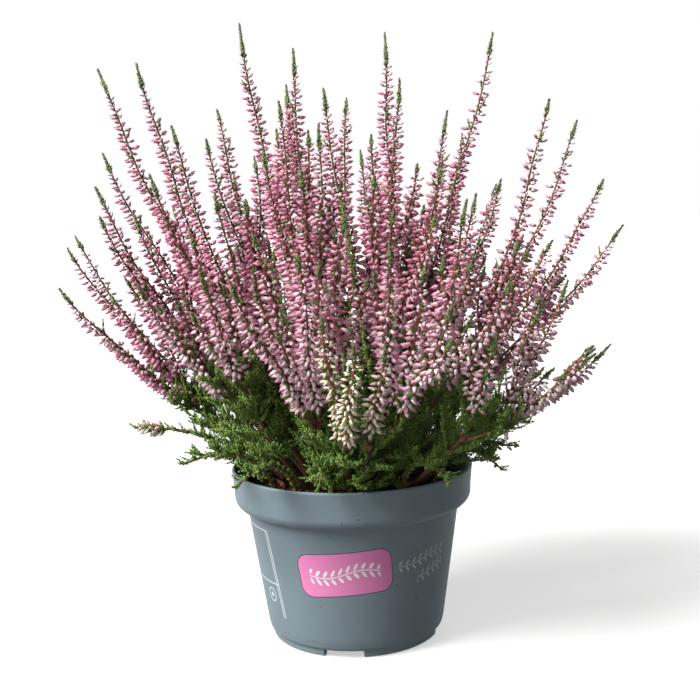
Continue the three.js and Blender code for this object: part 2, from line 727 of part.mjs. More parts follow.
SPRAYS.forEach((spray, k) => {
  const random = randomFrom(SPRAY_SEED + k);
  const strands = spikes[k].map((spike) => makeSpike(spike, random));
  const solid = strands.reduce((sum, strand) => sum.add(strand), makeFork(sprayStems[k]));
  heather.add(meshFromSolid(spray.name, solid, spray.look));
});
stems.forEach((stem, k) => {
  const solid = makeStem(stem, randomFrom(STEM_SEED + k));
  heather.add(meshFromSolid(stem.name, solid, FOLIAGE));
});

export default heather;
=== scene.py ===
"""Looks of the potted heather: fine flower spikes, leafy shoots, peat and a printed nursery pot.

Sizes are in millimetres from the pot's axis at the level of its foot, as in the part's source, and
`placed` turns them into metres in the frame. The rules for stems and spikes are the part's own, so each
fine piece lies where the CAD node that it replaces lies.
"""

import math

import bpy
import numpy as np
from mathutils import Matrix, Vector, noise


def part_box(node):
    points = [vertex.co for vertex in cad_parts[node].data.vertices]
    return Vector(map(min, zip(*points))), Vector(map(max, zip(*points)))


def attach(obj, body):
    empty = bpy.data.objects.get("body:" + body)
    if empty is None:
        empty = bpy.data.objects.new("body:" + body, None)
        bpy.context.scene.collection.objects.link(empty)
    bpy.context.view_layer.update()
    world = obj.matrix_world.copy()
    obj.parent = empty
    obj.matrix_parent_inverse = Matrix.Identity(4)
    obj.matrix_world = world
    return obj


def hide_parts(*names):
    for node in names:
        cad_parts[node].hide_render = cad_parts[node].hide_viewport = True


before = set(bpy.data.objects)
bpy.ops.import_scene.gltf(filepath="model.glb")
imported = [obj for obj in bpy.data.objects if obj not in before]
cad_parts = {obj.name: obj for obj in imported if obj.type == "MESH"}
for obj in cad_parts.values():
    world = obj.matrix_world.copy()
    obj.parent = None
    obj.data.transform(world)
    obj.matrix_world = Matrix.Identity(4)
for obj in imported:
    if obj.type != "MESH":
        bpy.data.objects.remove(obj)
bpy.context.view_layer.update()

# ---------- Driving dimensions, as in the part's source ----------

RIM_RADIUS = 60
POT_HEIGHT = 85
BAND_HEIGHT = 19
BAND_ROUNDING = 9
BAND_WAIST_RADIUS = 59
BODY_TOP_RADIUS = 53
BODY_FOOT_RADIUS = 44
FOOT_FILLET = 5
FOOT_RADIUS = 41
FOOT_RING_WIDTH = 2.4
FLOOR_HEIGHT = 4
WALL = 1.3
LIP_WIDTH = 1.8
NOTCH_COUNT = 4
NOTCH_WIDTH = 19
NOTCH_HEIGHT = 3.4
FRONT_NOTCH = math.radians(-99)
DRAIN_RADIUS = 4
DRAIN_CENTRE_RADIUS = 32

SOIL_TOP = 76
ROOT_SPREAD = 45
ROOT_TOP = SOIL_TOP + 1.6
ROOT_DEPTH = 10
STEM_REACH = 42
LEAN_IN = math.radians(12)
LOWEST_START = math.radians(40)
LOW_SHOOT_START = math.radians(68)
LOW_SHOOT_ARCH = 32
LOW_SHOOT_ROOT = 44
SEAT_GAP = 0.3
FORK_LENGTH = 4.5
FORK_SPREAD = 1.5
FORK_SINK = 1.5
SPIKE_FOLLOW = 0.4
SPIKE_HANDLES = (0.3, 0.34)
UPTURN = 0.4

# Each spray is a list of spike tips (x, y, z).
PINK_SPRAYS = [
    [(-138, -10, 177), (-138, 10, 196), (-140, 35, 201)],
    [(-115, -25, 225), (-109, -45, 211), (-101, -10, 213)],
    [(-122, 30, 285), (-119, 15, 242), (-98, 5, 284)],
    [(-92, -60, 182), (-66, -70, 203), (-60, -90, 189)],
    [(-85, -50, 229), (-79, -20, 252), (-55, -65, 220)],
    [(-69, 30, 248), (-65, 50, 264), (-62, 92, 232)],
    [(-48, 10, 302), (-23, 20, 291), (-29, -15, 262)],
    [(-28, 40, 275), (-30, 70, 272), (3, 50, 268)],
    [(-35, -45, 240), (-18, -70, 231), (-10, -40, 250)],
    [(-8, -10, 268), (28, -10, 271), (45, -40, 231)],
    [(23, 25, 298), (53, 20, 258), (79, 40, 298)],
    [(64, 55, 248), (85, 82, 221), (85, 60, 224)],
    [(102, 10, 261), (123, 45, 253), (125, -5, 221), (141, 20, 199)],
    [(103, -30, 175), (124, -25, 144), (98, -52, 136)],
    [(58, -55, 216), (52, -75, 214), (68, -90, 181)],
    [(18, -95, 198), (33, -100, 191), (43, -105, 175)],
    [(-38, -85, 204), (-47, -100, 185), (-18, -117, 197), (0, -90, 210)],
    [(64, -80, 159), (75, -62, 117)],
    [(112, 88, 183), (96, 100, 160)],
    [(-95, 78, 215), (-110, 66, 172), (-72, 108, 170)],
    [(-30, 112, 205), (-12, 119, 165), (-42, 118, 152)],
    [(34, 108, 200), (55, 118, 160), (10, 90, 243), (56, 86, 238)],
]
CREAM_SPRAYS = [
    [(-10, -108, 169), (2, -116, 158)],
    [(15, -103, 158), (5, -78, 121)],
]
CREAM_SHARES = (0.84, 0.24)
# Leafy shoots without flowers: (azimuth in degrees, reach from the axis, height of the tip)
LOW_SHOOTS = [
    (191, 104, 110),
    (214, 92, 99),
    (235, 88, 93),
    (259, 78, 92),
    (300, 84, 92),
    (334, 78, 88),
    (8, 92, 100),
    (62, 88, 94),
    (120, 88, 97),
]

BUDDING_SHOOT = 1  # the one low shoot with buds at its end

# ---------- Fine detail ----------
# A pair without a comment is for the foot and the tip, or the least and the most.

# Spikes
RACHIS_RADII = (0.8, 0.42)
WANDER = 0.9  # how far a spike strays from its smooth curve
FLOWER_START = 16  # from the fork to the lowest bud
CREAM_START = 10
OTHER_STARTS = {1: 18, 4: 36, 5: 32, 6: 22, 13: 22, 14: 8, 15: 28, 18: 18, 19: 24, 20: 32, 21: 24}
SIDE_SPIKE_LENGTHS = (26, 52)
SIDE_SPIKE_ZONE = (0.16, 0.5)  # shares of a spike's length where its side spikes start
SIDE_SPIKE_EVERY = 50
SIDE_SPIKE_START = 5  # from its foot to its lowest bud
BUSHY = {14: 22}  # millimetres between the side spikes of a spray that has more of them
FADED = {1: 2}  # the spike of a spray that has faded, counted from 0
FADED_SHARE = 0.5
# Share of tan in a rachis on the axis at a height, and how far to the right or down it gains one. The gain
# to the right is partly painted light, for the lit sides of the right-hand spikes, and partly the rachises'
# own colour.
TAN_SHARE, TAN_HEIGHT, TAN_AND_PAINTED_LIGHT_ACROSS, TAN_DOWN = 0.3, 200, 300, 250
KNUCKLE_RADII = (0.9, 1.4, 1.9, 1.9, 1.1)  # along a fork

# Buds
BUD_LENGTHS = (5.0, 3.7)
BUD_WIDTH, BUD_THICKNESS = 0.47, 0.92  # beside the length, and beside the width
BUD_STEPS = (0.64, 0.9)  # along the rachis
LEANING_STEPS = (1.1, 0.86)  # beside those, on a level and on an upright spike
CREAM_STEP = 1.2
TUFT_STEP = 0.7  # at the end of a low shoot
SPARSE_SIDE = (70, 240)  # spikes that end further right and higher than this have fewer buds at the top
SPARSE = 1.75  # the step between their highest buds, beside the others'
PEDICELS = (1.1, 1.0)
PEDICEL_START = 0.3  # from the middle of the rachis
GOLDEN_SHARE = 0.618034  # of a turn, from each bud to the next
LEANING = math.radians(50)  # from the vertical, where a spike has buds on its lower side alone
LOWER_SIDE = math.radians(98)  # how far that side goes round, from its middle
DROOPS = (0.22, 0.5)  # of the lowest pink and the lowest cream bud
HIGH_DROOP = -0.1
FORWARD = (0.1, 0.75)  # how much a full and a young bud lie along the spike
TUFT_FORWARD = 0.9
YOUNG_SHARE = 0.86  # of the way up, where the buds turn small
YOUNG_STALK, YOUNG_BUD = 0.5, 0.55  # beside full ones
CREAM_BUD = 0.84  # beside a pink one
# Buds are paler below a height and before a depth, and are palest this much lower and nearer. This paleness
# is partly the low buds' own blush and partly painted light, for the front light on the low front buds.
PALE_HEIGHT, PALE_FALL = 190, 75
PALE_DEPTH, PALE_NEARER = 20, 60
LOW_PALENESS_AND_PAINTED_LIGHT, YOUNG_PALENESS = 0.68, 0.45
BRACT_SHAPE = (0.45, 0.4, 0.3)  # beside the length of its bud

# Scaly tips
TIP_LENGTHS = (6, 13)
SIDE_TIP_LENGTHS = (5, 8)
TALL, TALLER_TIP = 280, 4  # the height of a spike with a longer tip, and how much longer
TIP_BARE = 0.92  # share of a tip that is above the highest bud
TIP_WIDTH = 1.5
TIP_CORE = (0.5, 0.8, 0.75, 0.5, 0.15)
TIP_LEAF = (2.8, 1.75, 1.3)  # length, width, thickness
TIP_LEAVES = 4.4  # to a millimetre
TIP_TURN = 2.4  # from each leaf to the next
TIP_SIDE = np.array([0.3, 0.7, 0.2])  # the side that the turns are counted from
TIP_SPREAD = (0.72, 0.24)

# Leafy shoots and branches
LEAF_SIZE = (2.3, 1.6, 1.05)  # length, width, thickness
LEAF_STEP = 1.02  # between pairs of scale leaves
LEAF_SIDE = np.array([0.36, 0.48, 0.8])
LEAF_SPREAD = (0.95, 0.35)
BRANCH_LENGTHS = (15, 27)
TWIG_RADII = (0.5, 0.42, 0.34, 0.2)
SHOOT_LENGTHS = (6.8, 3.2)  # on a branch
SHOOT_EVERY = 1.55
SMALL_LEAF, BRANCH_LEAF = 0.85, 0.92  # on small shoots and on a branch's shoots, beside the full size
RUSTY = 0.05  # share of the small shoots that are rust-brown
LOWEST_DROOP = -0.12
GOLDEN_ANGLE = math.pi * (3 - math.sqrt(5))
ATTEMPTS = 4  # to find room for a shoot or branch
AMONG_BUDS, AMONG_EVERY = (3.5, 7.0), 11.0  # small shoots among the buds
FOOT_SHOOTS, FOOT_EVERY = (7, 13), 2.6  # and below them
FOOT_BRANCHES, FOOT_BRANCH_EVERY = (12, 20), 4.0  # branches at the foot of a late spike
LEAFY_FOOT = 18  # which they fill up to here at least
STEM_RADII = (1.7, 1.1)
STEM_UPRIGHT = math.radians(68)
STEM_EVERY = (3.4, 5.0)  # between the branches of a stem that leans, and of an upright one
STEM_SHOOTS, STEM_SHOOT_EVERY = (5, 10), 4.0
LEADERS = 2  # tall leafy shoots from each stem into the middle of the plant
LEADER_FEET = (0.7, 0.95)  # shares of the stem's length
LEADER_LENGTHS = (30, 54)
LEADER_AIM = (4, -10, 150)
LEADER_SPREAD = 20
LEADER_EVERY = 2.6
# More leafy shoots, by the number of the stem that carries them: where they end
FILL_TIPS = {
    1: [(-86, -8, 113), (-80, 6, 124), (-92, 10, 119), (-73, -16, 108)],
    4: [(-64, -44, 112)],
    5: [(-34, -16, 194), (-32, -10, 182)],
    6: [(-34, 26, 178)],
    7: [(-40, 0, 186), (-30, -24, 198)],
    8: [(1, 24, 214), (6, 8, 192), (-12, 36, 226), (5, 12, 134), (3, 50, 166)],
    9: [(-24, -30, 205), (3, -24, 190), (6, -34, 170), (4, -22, 138)],
    10: [(-2, -16, 216), (3, -6, 180), (3, -8, 144)],
    11: [(38, 12, 214), (5, 30, 150), (7, 6, 132)],
    12: [(64, 28, 182)],
    13: [(66, 0, 142), (76, 14, 130), (67, 14, 188), (61, 2, 176)],
    14: [(84, -34, 122), (92, -20, 112), (78, -8, 130)],
    15: [(52, -50, 136)],
    16: [(4, -58, 166), (22, -50, 176)],
    17: [(5, -60, 158)],
    18: [(78, -52, 112)],
    20: [(-78, 44, 118)],
}
CREAM_FILL_TIPS = {1: [(1, -36, 136)], 2: [(1, -50, 166), (4, -42, 138)]}
FILL_FEET = (0.75, 0.97)
FILL_EVERY = 2.2
LOW_SHOOT_RADII = (1.3, 0.4)
LOW_LEAF = 1.7
LOW_BRANCHES, LOW_BRANCH_EVERY = (14, 23), 3.6
LOW_BRANCH_END = 0.3  # how long they are at the shoot's end, beside its foot
LOW_BRANCH_ZONES = (0.85, 0.55)  # shares of the length that has branches: without buds, and with
LOW_SMALL, LOW_SMALL_EVERY = (3, 6), 2.0
TUFT_LENGTH, TUFT_CREAM = 13, 0.4  # of the buds at a shoot's end
END_SHOOT = 3.5  # at the very end
FALLEN = 3  # dead sprigs below each low shoot
FALLEN_REACH, FALLEN_LENGTHS = (30, 47), (5, 9)

# Room for shoots: from the rim's outside to one within it and to one without, and from the soil
ROOM_WITHIN, ROOM_WITHOUT, ROOM_ABOVE = 3, 1.5, 1
# Peat that shows between the shoots, seen over the rim: left, right and height at the pot's axis
CLEARINGS = ((-50, -15, 85), (23, 45, 81))
CLEARING_SLOPE = 0.24  # how much higher it is kept clear toward the front
CLEARING_BACK = 34

# Peat and pot
SOIL_SEED = 5
SOIL_RINGS = 34
SOIL_SEGMENTS = 120
SOIL_INNER, SOIL_EDGE = 1.2, 56.2  # radii of the first and last ring on top
SOIL_SIDE = ((55.4, 69.4), (51.2, 66), (42.1, 5.7))  # radii and heights of the rings below it
SOIL_SHOULDER, SOIL_FALL = 44, 0.14  # the radius where the top starts to fall, and how steeply
LUMPS = ((0.09, 1.6), (0.33, 1.1))  # scale and height
CRUMBS, FIBRES = 1350, 420
CRUMB_SIZES = (0.7, 2.3)
FIBRE_LENGTHS, FIBRE_WIDTHS = (2, 7), (0.25, 0.6)
CRUMB_REACH = 55
POT_SEGMENTS = 160

PINK_SEED, STEM_SEED, CREAM_SEED, CREAM_STEM_SEED, SHOOT_SEED = 100, 200, 300, 320, 400

MM = 0.001
TURN = 2 * math.pi
low_corner, high_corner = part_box("pot")
ORIGIN = np.array([(low_corner.x + high_corner.x) / 2, (low_corner.y + high_corner.y) / 2, low_corner.z])
UP = np.array([0.0, 0.0, 1.0])


def placed(points):
    return np.asarray(points) * MM + ORIGIN


def unit(v):
    return v / np.maximum(np.linalg.norm(v, axis=-1, keepdims=True), 1e-9)


def mix(a, b, t):
    return a + (b - a) * t


def across(v, axis):
    """The part of v square to the unit axis."""
    return v - axis * np.sum(v * axis, axis=-1, keepdims=True)


def heading(azimuth, elevation):
    flat = math.cos(elevation)
    return np.array([flat * math.cos(azimuth), flat * math.sin(azimuth), math.sin(elevation)])


def elevation_of(v):
    return math.atan2(v[2], math.hypot(v[0], v[1]))


def outward(points):
    return unit(points * np.array([1.0, 1.0, 0.0]))


def about_axis(radius, angle, height):
    """Points by their distance from the pot's axis, their angle round it and their height."""
    return np.stack(np.broadcast_arrays(radius * np.cos(angle), radius * np.sin(angle), height), axis=1)


def about_twig(side, tangents, turn):
    """Directions square to a twig's tangents, turned round them from a side."""
    side = unit(across(side, tangents))
    return np.cos(turn)[:, None] * side + np.sin(turn)[:, None] * np.cross(tangents, side)


# ---------- Materials ----------

EDGE = 0.1  # half the width of a soft edge


class Shader:
    """A Principled material and short ways to write its nodes."""

    def __init__(self, name, roughness, specular=0.4):
        self.material = bpy.data.materials.new(name)
        self.material.use_nodes = True
        self.tree = self.material.node_tree
        self.surface = self.tree.nodes["Principled BSDF"]
        self.finish("Roughness", roughness)
        self.finish("Specular IOR Level", specular)
        self.place = self.node("ShaderNodeTexCoord").outputs["Object"]

    def node(self, kind, inputs=(), **settings):
        """A new node, with a value or a socket for each of the inputs given by name or number."""
        made = self.tree.nodes.new(kind)
        for key, value in settings.items():
            setattr(made, key, value)
        for key, value in dict(inputs).items():
            self.put(made.inputs[key], value)
        return made

    def put(self, socket, value):
        if isinstance(value, bpy.types.NodeSocket):
            self.tree.links.new(value, socket)
        else:
            socket.default_value = rgb(value) if isinstance(value, str) else value

    def finish(self, name, value):
        self.put(self.surface.inputs[name], value)

    def math(self, operation, *values):
        return self.node("ShaderNodeMath", enumerate(values), operation=operation).outputs[0]

    def times(self, a, b):
        return self.math("MULTIPLY", a, b)

    def over(self, a, b):
        return self.math("DIVIDE", a, b)

    def plus(self, a, b):
        return self.math("ADD", a, b)

    def minus(self, a, b):
        return self.math("SUBTRACT", a, b)

    def most(self, a, b):
        return self.math("MAXIMUM", a, b)

    def absolute(self, value):
        return self.math("ABSOLUTE", value)

    def squares(self, a, b):
        return self.plus(self.times(a, a), self.times(b, b))

    def distance(self, a, b):
        return self.math("SQRT", self.squares(a, b))

    def read(self, name):
        return self.node("ShaderNodeAttribute", attribute_name=name).outputs["Fac"]

    def noise(self, scale, detail=3.0, roughness=0.55):
        inputs = {"Vector": self.place, "Scale": scale, "Detail": detail, "Roughness": roughness}
        return self.node("ShaderNodeTexNoise", inputs).outputs["Fac"]

    def ramp(self, factor, *stops):
        made = self.node("ShaderNodeValToRGB", {"Fac": factor})
        ramp = made.color_ramp
        while len(ramp.elements) < len(stops):
            ramp.elements.new(0.5)
        for element, (position, color) in zip(ramp.elements, stops):
            element.position = position
            element.color = rgb(color)
        return made.outputs["Color"]

    def blend(self, factor, a, b):
        return self.node("ShaderNodeMix", {"Factor": factor, 6: a, 7: b}, data_type="RGBA").outputs[2]

    def step(self, low, high, value):
        """Runs smoothly from zero at low to one at high."""
        inputs = {"Value": value, "From Min": low, "From Max": high}
        return self.node("ShaderNodeMapRange", inputs, interpolation_type="SMOOTHSTEP").outputs["Result"]

    def above(self, level, value, edge=EDGE):
        return self.step(level - edge, level + edge, value)

    def below(self, level, value, edge=EDGE):
        return self.step(level + edge, level - edge, value)

    def color(self, value):
        self.finish("Base Color", value)

    def bump(self, height, distance, strength):
        inputs = {"Height": height, "Distance": distance, "Strength": strength}
        self.finish("Normal", self.node("ShaderNodeBump", inputs).outputs["Normal"])

    def glow(self, strength):
        self.finish("Emission Color", (1, 1, 1, 1))
        self.finish("Emission Strength", strength)


def rgb(code):
    """A colour written as seen on a screen, such as "d98ba6", as linear values."""
    parts = [int(code[i : i + 2], 16) / 255 for i in (0, 2, 4)]
    return tuple(c / 12.92 if c < 0.04045 else ((c + 0.055) / 1.055) ** 2.4 for c in parts) + (1.0,)


def bud_material():
    """Pink sepals, pale at the foot. `tint` sorts dark from blushed buds, and `pale` turns them cream; on
    the low front buds `pale` is partly painted light.
    """
    m = Shader("bud", 0.5)
    along, tint, pale = m.read("along"), m.read("tint"), m.read("pale")
    pink = m.ramp(along, (0, "d2bfa0"), (0.2, "f5ccd4"), (0.5, "e284a4"), (0.78, "c9628a"), (1, "9c3f6a"))
    blush = m.ramp(along, (0, "c3c08c"), (0.22, "fdf5ee"), (0.52, "fce6ea"), (0.8, "eaa2bc"), (1, "c8648c"))
    cream = m.ramp(along, (0, "a6a56a"), (0.3, "dcd2a8"), (0.72, "eadcc8"), (1, "d79aa6"))
    sepals = m.blend(m.times(m.step(0.62, 0.98, tint), 0.75), pink, blush)
    sepals = m.blend(m.times(m.step(0.28, 0.0, tint), 0.55), sepals, "ad5476")
    sepals = m.blend(m.times(m.noise(900), 0.16), sepals, "f8dde2")
    m.color(m.blend(m.step(0.5, 1.0, pale), m.blend(m.step(0.0, 0.5, pale), sepals, blush), cream))
    m.bump(m.noise(1800), 0.0002, 0.4)
    return m.material


def bark_material():
    """Rachis and twigs, streaked: `tint` turns red-brown to tan, partly as painted light on the right-hand
    spikes, and `pale` to the old grey-brown wood.
    """
    m = Shader("bark", 0.6)
    streaks = m.noise(650, 4)
    dark = m.ramp(streaks, (0.3, "4a2828"), (0.55, "72413b"), (0.75, "96694f"))
    tan = m.ramp(streaks, (0.3, "835643"), (0.55, "a87a58"), (0.75, "c39c74"))
    young = m.blend(m.read("tint"), dark, tan)
    old = m.ramp(streaks, (0.3, "2c1f18"), (0.6, "4e3a2c"), (0.8, "6e5a46"))
    m.color(m.blend(m.read("pale"), young, old))
    m.bump(streaks, 0.0004, 0.7)
    return m.material


def bract_material():
    """Bracts below the buds: green at the foot and brown at the tip, or dull yellow."""
    m = Shader("bract", 0.6)
    dark = m.blend(m.read("along"), "424e26", "5c322f")
    m.color(m.blend(m.read("tint"), dark, "7d6c42"))
    m.bump(m.noise(1500), 0.0002, 0.4)
    return m.material


def leaf_material():
    """Scale leaves. `tint` sorts dark from light shoots, and `pale` turns yellow-green to rust."""
    m = Shader("leaf", 0.5)
    tint, along, pale = m.read("tint"), m.read("along"), m.read("pale")
    green = m.ramp(tint, (0, "465e24"), (0.4, "678830"), (0.75, "86a33e"), (1, "a0b650"))
    tipped = m.blend(m.times(m.step(0.35, 1.0, along), 0.45), green, "9fb45e")
    dusky = m.ramp(pale, (0, "5d7a34"), (0.35, "8d9a45"), (0.65, "86502f"), (1, "5c2e20"))
    m.color(m.blend(m.step(0.05, 0.5, pale), m.blend(m.noise(420), tipped, "557530"), dusky))
    m.bump(m.noise(1600), 0.0002, 0.4)
    return m.material


def tip_material():
    """The scaly tip of a spike: grey-green, and brown at its very end."""
    m = Shader("tip", 0.55)
    green = m.ramp(m.read("tint"), (0, "465430"), (0.5, "5f6c3f"), (1, "828c58"))
    ended = m.blend(m.step(0.55, 0.95, m.read("pale")), green, "5f4c40")
    m.color(m.blend(m.times(m.step(0.5, 1.0, m.read("along")), 0.4), ended, "97a368"))
    m.bump(m.noise(1500), 0.0002, 0.4)
    return m.material


def peat_material():
    """Dark peat. `tint` near one is a reddish fleck."""
    m = Shader("peat", 0.95, 0.15)
    grain = m.noise(260, 6, roughness=0.7)
    dark = m.ramp(grain, (0.3, "170e0a"), (0.5, "291a13"), (0.68, "40291d"), (0.85, "63442f"))
    m.color(m.blend(m.step(0.8, 1.0, m.read("tint")), dark, "4c2c20"))
    m.bump(m.noise(700, 6), 0.0012, 0.9)
    return m.material


# The print on the pot, in millimetres round the pot and up it, from the middle of the front
PRINT_RADIUS = 50
LABEL_CENTRE = (-5, 43.5)
LABEL_HALF = (23, 11)
LABEL_CORNER = 6
LABEL_TILT = math.radians(5)
LABEL_BORDER = 0.45
LABEL_SPRIG = 17  # half the length of the sprig on it
FRAME_LEFT, FRAME_RIGHT = -68, -46.5
FRAME_LOW, FRAME_HIGH = 33, 60
FRAME_LEAN = 0.1
UPRIGHT_LOW, UPRIGHT_HIGH = 16.1, 59.9  # ends of the two lines at the right of the frame
UPRIGHT_GAP = 1.4
LINE, LINE_EDGE = 0.32, 0.08
BADGE = (-51.5, 26.5)
BADGE_RADIUS, BADGE_DOT = 3.3, 1.2
# Pale sprigs: their centres, and half their lengths
ROWS = (((35, 47), 14), ((41, 40), 9))
ROW_LEAF, LABEL_LEAF = 1.25, 1.6
SPRIG_STEP = 3.7
SPRIG_STALK = 0.24  # half the width of a sprig's stem
SPRIG_WAVE, SPRIG_RISE = 0.19, 0.9  # radians to a millimetre, and height beside a leaf's
LEAF_OFF, LEAF_LEAN, LEAF_WIDTH = 1.35, 0.55, 0.5  # beside a leaf's height
OVAL_EDGE = 0.15


def pot_material():
    """Slate-grey plastic with clouds, scuffs, specks and dust, and the print on its front."""
    m = Shader("pot_plastic", 0.55, 0.35)
    parts = m.node("ShaderNodeSeparateXYZ", {0: m.place}).outputs
    x, y, z = [m.minus(part, start) for part, start in zip(parts, ORIGIN)]
    u = m.times(m.math("ARCTAN2", x, m.times(y, -1.0)), PRINT_RADIUS)
    v = m.times(z, 1 / MM)
    outside = m.step(BODY_FOOT_RADIUS - 1.0, BODY_FOOT_RADIUS - 0.5, reach_of(m, x, y, v))

    clouds = m.noise(28, 3)
    grain = m.noise(900, 2)
    plastic = m.ramp(clouds, (0.3, "69787e"), (0.7, "73828a"))
    plastic = m.blend(m.times(m.step(0.72, 0.8, m.noise(240, 4)), 0.22), plastic, "a9b2b2")
    plastic = m.blend(m.times(m.step(0.735, 0.755, m.noise(330, 2)), 0.8), plastic, "35302b")
    dust = m.times(m.step(POT_HEIGHT - 9.0, POT_HEIGHT, v), m.step(0.6, 0.72, m.noise(520, 4)))
    plastic = m.blend(m.times(dust, 0.5), plastic, "9a8f80")

    distance = label_distance(m, u, v)
    sprig = leaf_row(m, *turned(m, u, v, LABEL_CENTRE), LABEL_SPRIG, LABEL_LEAF)
    face = m.blend(m.above(-LABEL_BORDER, distance), m.blend(sprig, "e084b6", "e9ecee"), "3d4347")
    label = m.times(m.below(0, distance), outside)
    lines = m.times(pale_lines(m, u, v), outside)
    m.color(m.blend(m.times(lines, 0.85), m.blend(label, plastic, face), "cdd4d5"))
    ink = m.times(m.plus(label, lines), 0.15)
    m.bump(m.plus(m.times(grain, 0.25), m.plus(m.times(clouds, 0.8), ink)), 0.00025, 0.5)
    m.finish("Roughness", m.plus(m.times(clouds, 0.14), 0.5))
    return m.material


def reach_of(m, x, y, v):
    """Distance from the axis in millimetres, with what lies in the slope of the wall taken off."""
    slope = (BODY_TOP_RADIUS - BODY_FOOT_RADIUS) / (POT_HEIGHT - BAND_HEIGHT - FOOT_FILLET)
    rise = m.times(m.minus(v, FOOT_FILLET), slope)
    return m.minus(m.times(m.distance(x, y), 1 / MM), rise)


def turned(m, u, v, centre):
    """Places in the print's tilted lines, from a centre: along them and above them."""
    du, dv = m.minus(u, centre[0]), m.minus(v, centre[1])
    c, s = math.cos(LABEL_TILT), math.sin(LABEL_TILT)
    return m.plus(m.times(du, c), m.times(dv, s)), m.minus(m.times(dv, c), m.times(du, s))


def label_distance(m, u, v):
    """Signed distance from the outline of the label, below zero inside it."""
    places = turned(m, u, v, LABEL_CENTRE)
    side = [m.minus(m.absolute(place), half - LABEL_CORNER) for place, half in zip(places, LABEL_HALF)]
    corner = m.distance(*[m.most(value, 0.0) for value in side])
    inner = m.math("MINIMUM", m.most(*side), 0.0)
    return m.minus(m.plus(corner, inner), LABEL_CORNER)


def leaf_row(m, u, v, half, size):
    """A sprig: a thin waved stem with a pair of leaves at each step."""
    wave = m.times(m.math("SINE", m.times(u, SPRIG_WAVE)), size * SPRIG_RISE)
    off = m.absolute(m.minus(v, wave))
    cell = m.times(m.minus(m.math("FRACT", m.over(u, SPRIG_STEP)), 0.5), SPRIG_STEP)
    above = m.minus(off, size * LEAF_OFF)
    wide = m.over(m.minus(cell, m.times(above, LEAF_LEAN)), size * LEAF_WIDTH)
    leaf = m.below(1.0, m.squares(wide, m.over(above, size)), OVAL_EDGE)
    return m.times(m.most(m.below(SPRIG_STALK, off), leaf), m.below(half, m.absolute(u)))


def pale_lines(m, u, v):
    """The pale print: a frame and a ring on the left, a sprig on the right, and one more below it."""
    leaning = m.plus(u, m.times(m.minus(v, FRAME_HIGH), FRAME_LEAN))
    uprights = m.most(near(m, leaning, FRAME_RIGHT), near(m, leaning, FRAME_RIGHT - UPRIGHT_GAP))
    uprights = m.times(uprights, m.times(m.above(UPRIGHT_LOW, v), m.below(UPRIGHT_HIGH, v)))
    levels = m.most(near(m, v, FRAME_LOW), near(m, v, FRAME_HIGH))
    levels = m.times(levels, m.times(m.above(FRAME_LEFT, leaning), m.below(FRAME_RIGHT, leaning)))
    away = m.distance(m.minus(u, BADGE[0]), m.minus(v, BADGE[1]))
    ring = m.most(near(m, away, BADGE_RADIUS), m.below(BADGE_DOT, away))
    rows = [leaf_row(m, *turned(m, u, v, centre), half, ROW_LEAF) for centre, half in ROWS]
    return m.most(m.most(uprights, levels), m.most(ring, m.most(*rows)))


def near(m, value, line):
    return m.below(LINE, m.absolute(m.minus(value, line)), LINE_EDGE)


BUD, BARK, BRACT, LEAF, TIP = range(5)
PLANT_MATERIALS = [bud_material(), bark_material(), bract_material(), leaf_material(), tip_material()]


# ---------- Mesh building ----------


def skin(rings, sides):
    """Faces of a closed form: rings of corners between a first and a last point."""
    j = np.arange(sides)
    k = (j + 1) % sides
    faces = [np.stack([j * 0, 1 + k, 1 + j], 1)]
    for ring in range(rings - 1):
        low, high = 1 + ring * sides, 1 + (ring + 1) * sides
        faces.append(np.stack([low + j, low + k, high + k], 1))
        faces.append(np.stack([low + j, high + k, high + j], 1))
    top = 1 + (rings - 1) * sides
    faces.append(np.stack([j * 0 + top + sides, top + j, top + k], 1))
    return np.concatenate(faces)


def ringed_form(sides, rings, ridge=1.0):
    """Points and faces of a small closed form along z from 0 to 1. Every second corner is on a ridge."""
    angles = TURN * np.arange(sides) / sides
    spread = np.where(np.arange(sides) % 2 == 0, 1.0, ridge)
    corners = [about_axis(radius * spread, angles, z) for z, radius in rings]
    return np.concatenate([[UP * 0]] + corners + [[UP]]), skin(len(rings), sides)


BUD_FORM = ringed_form(4, [(0.28, 0.5), (0.64, 0.42)])
CRUMB_FORM = ringed_form(5, [(0.4, 0.5)], ridge=0.7)
# The plainest closed leaf: a diamond, folded along its middle
LEAF_FORM = (
    np.array([(0.0, 0.0, 0.0), (0.5, 0.5, 0.42), (-0.5, 0.5, 0.42), (0.0, 0.0, 1.0)]),
    np.array([(0, 1, 3), (0, 3, 2), (1, 2, 3), (0, 2, 1)]),
)
TUBE_SIDE = np.array([0.31, -0.47, 0.83])  # where a tube's first corner is: no tube runs this way


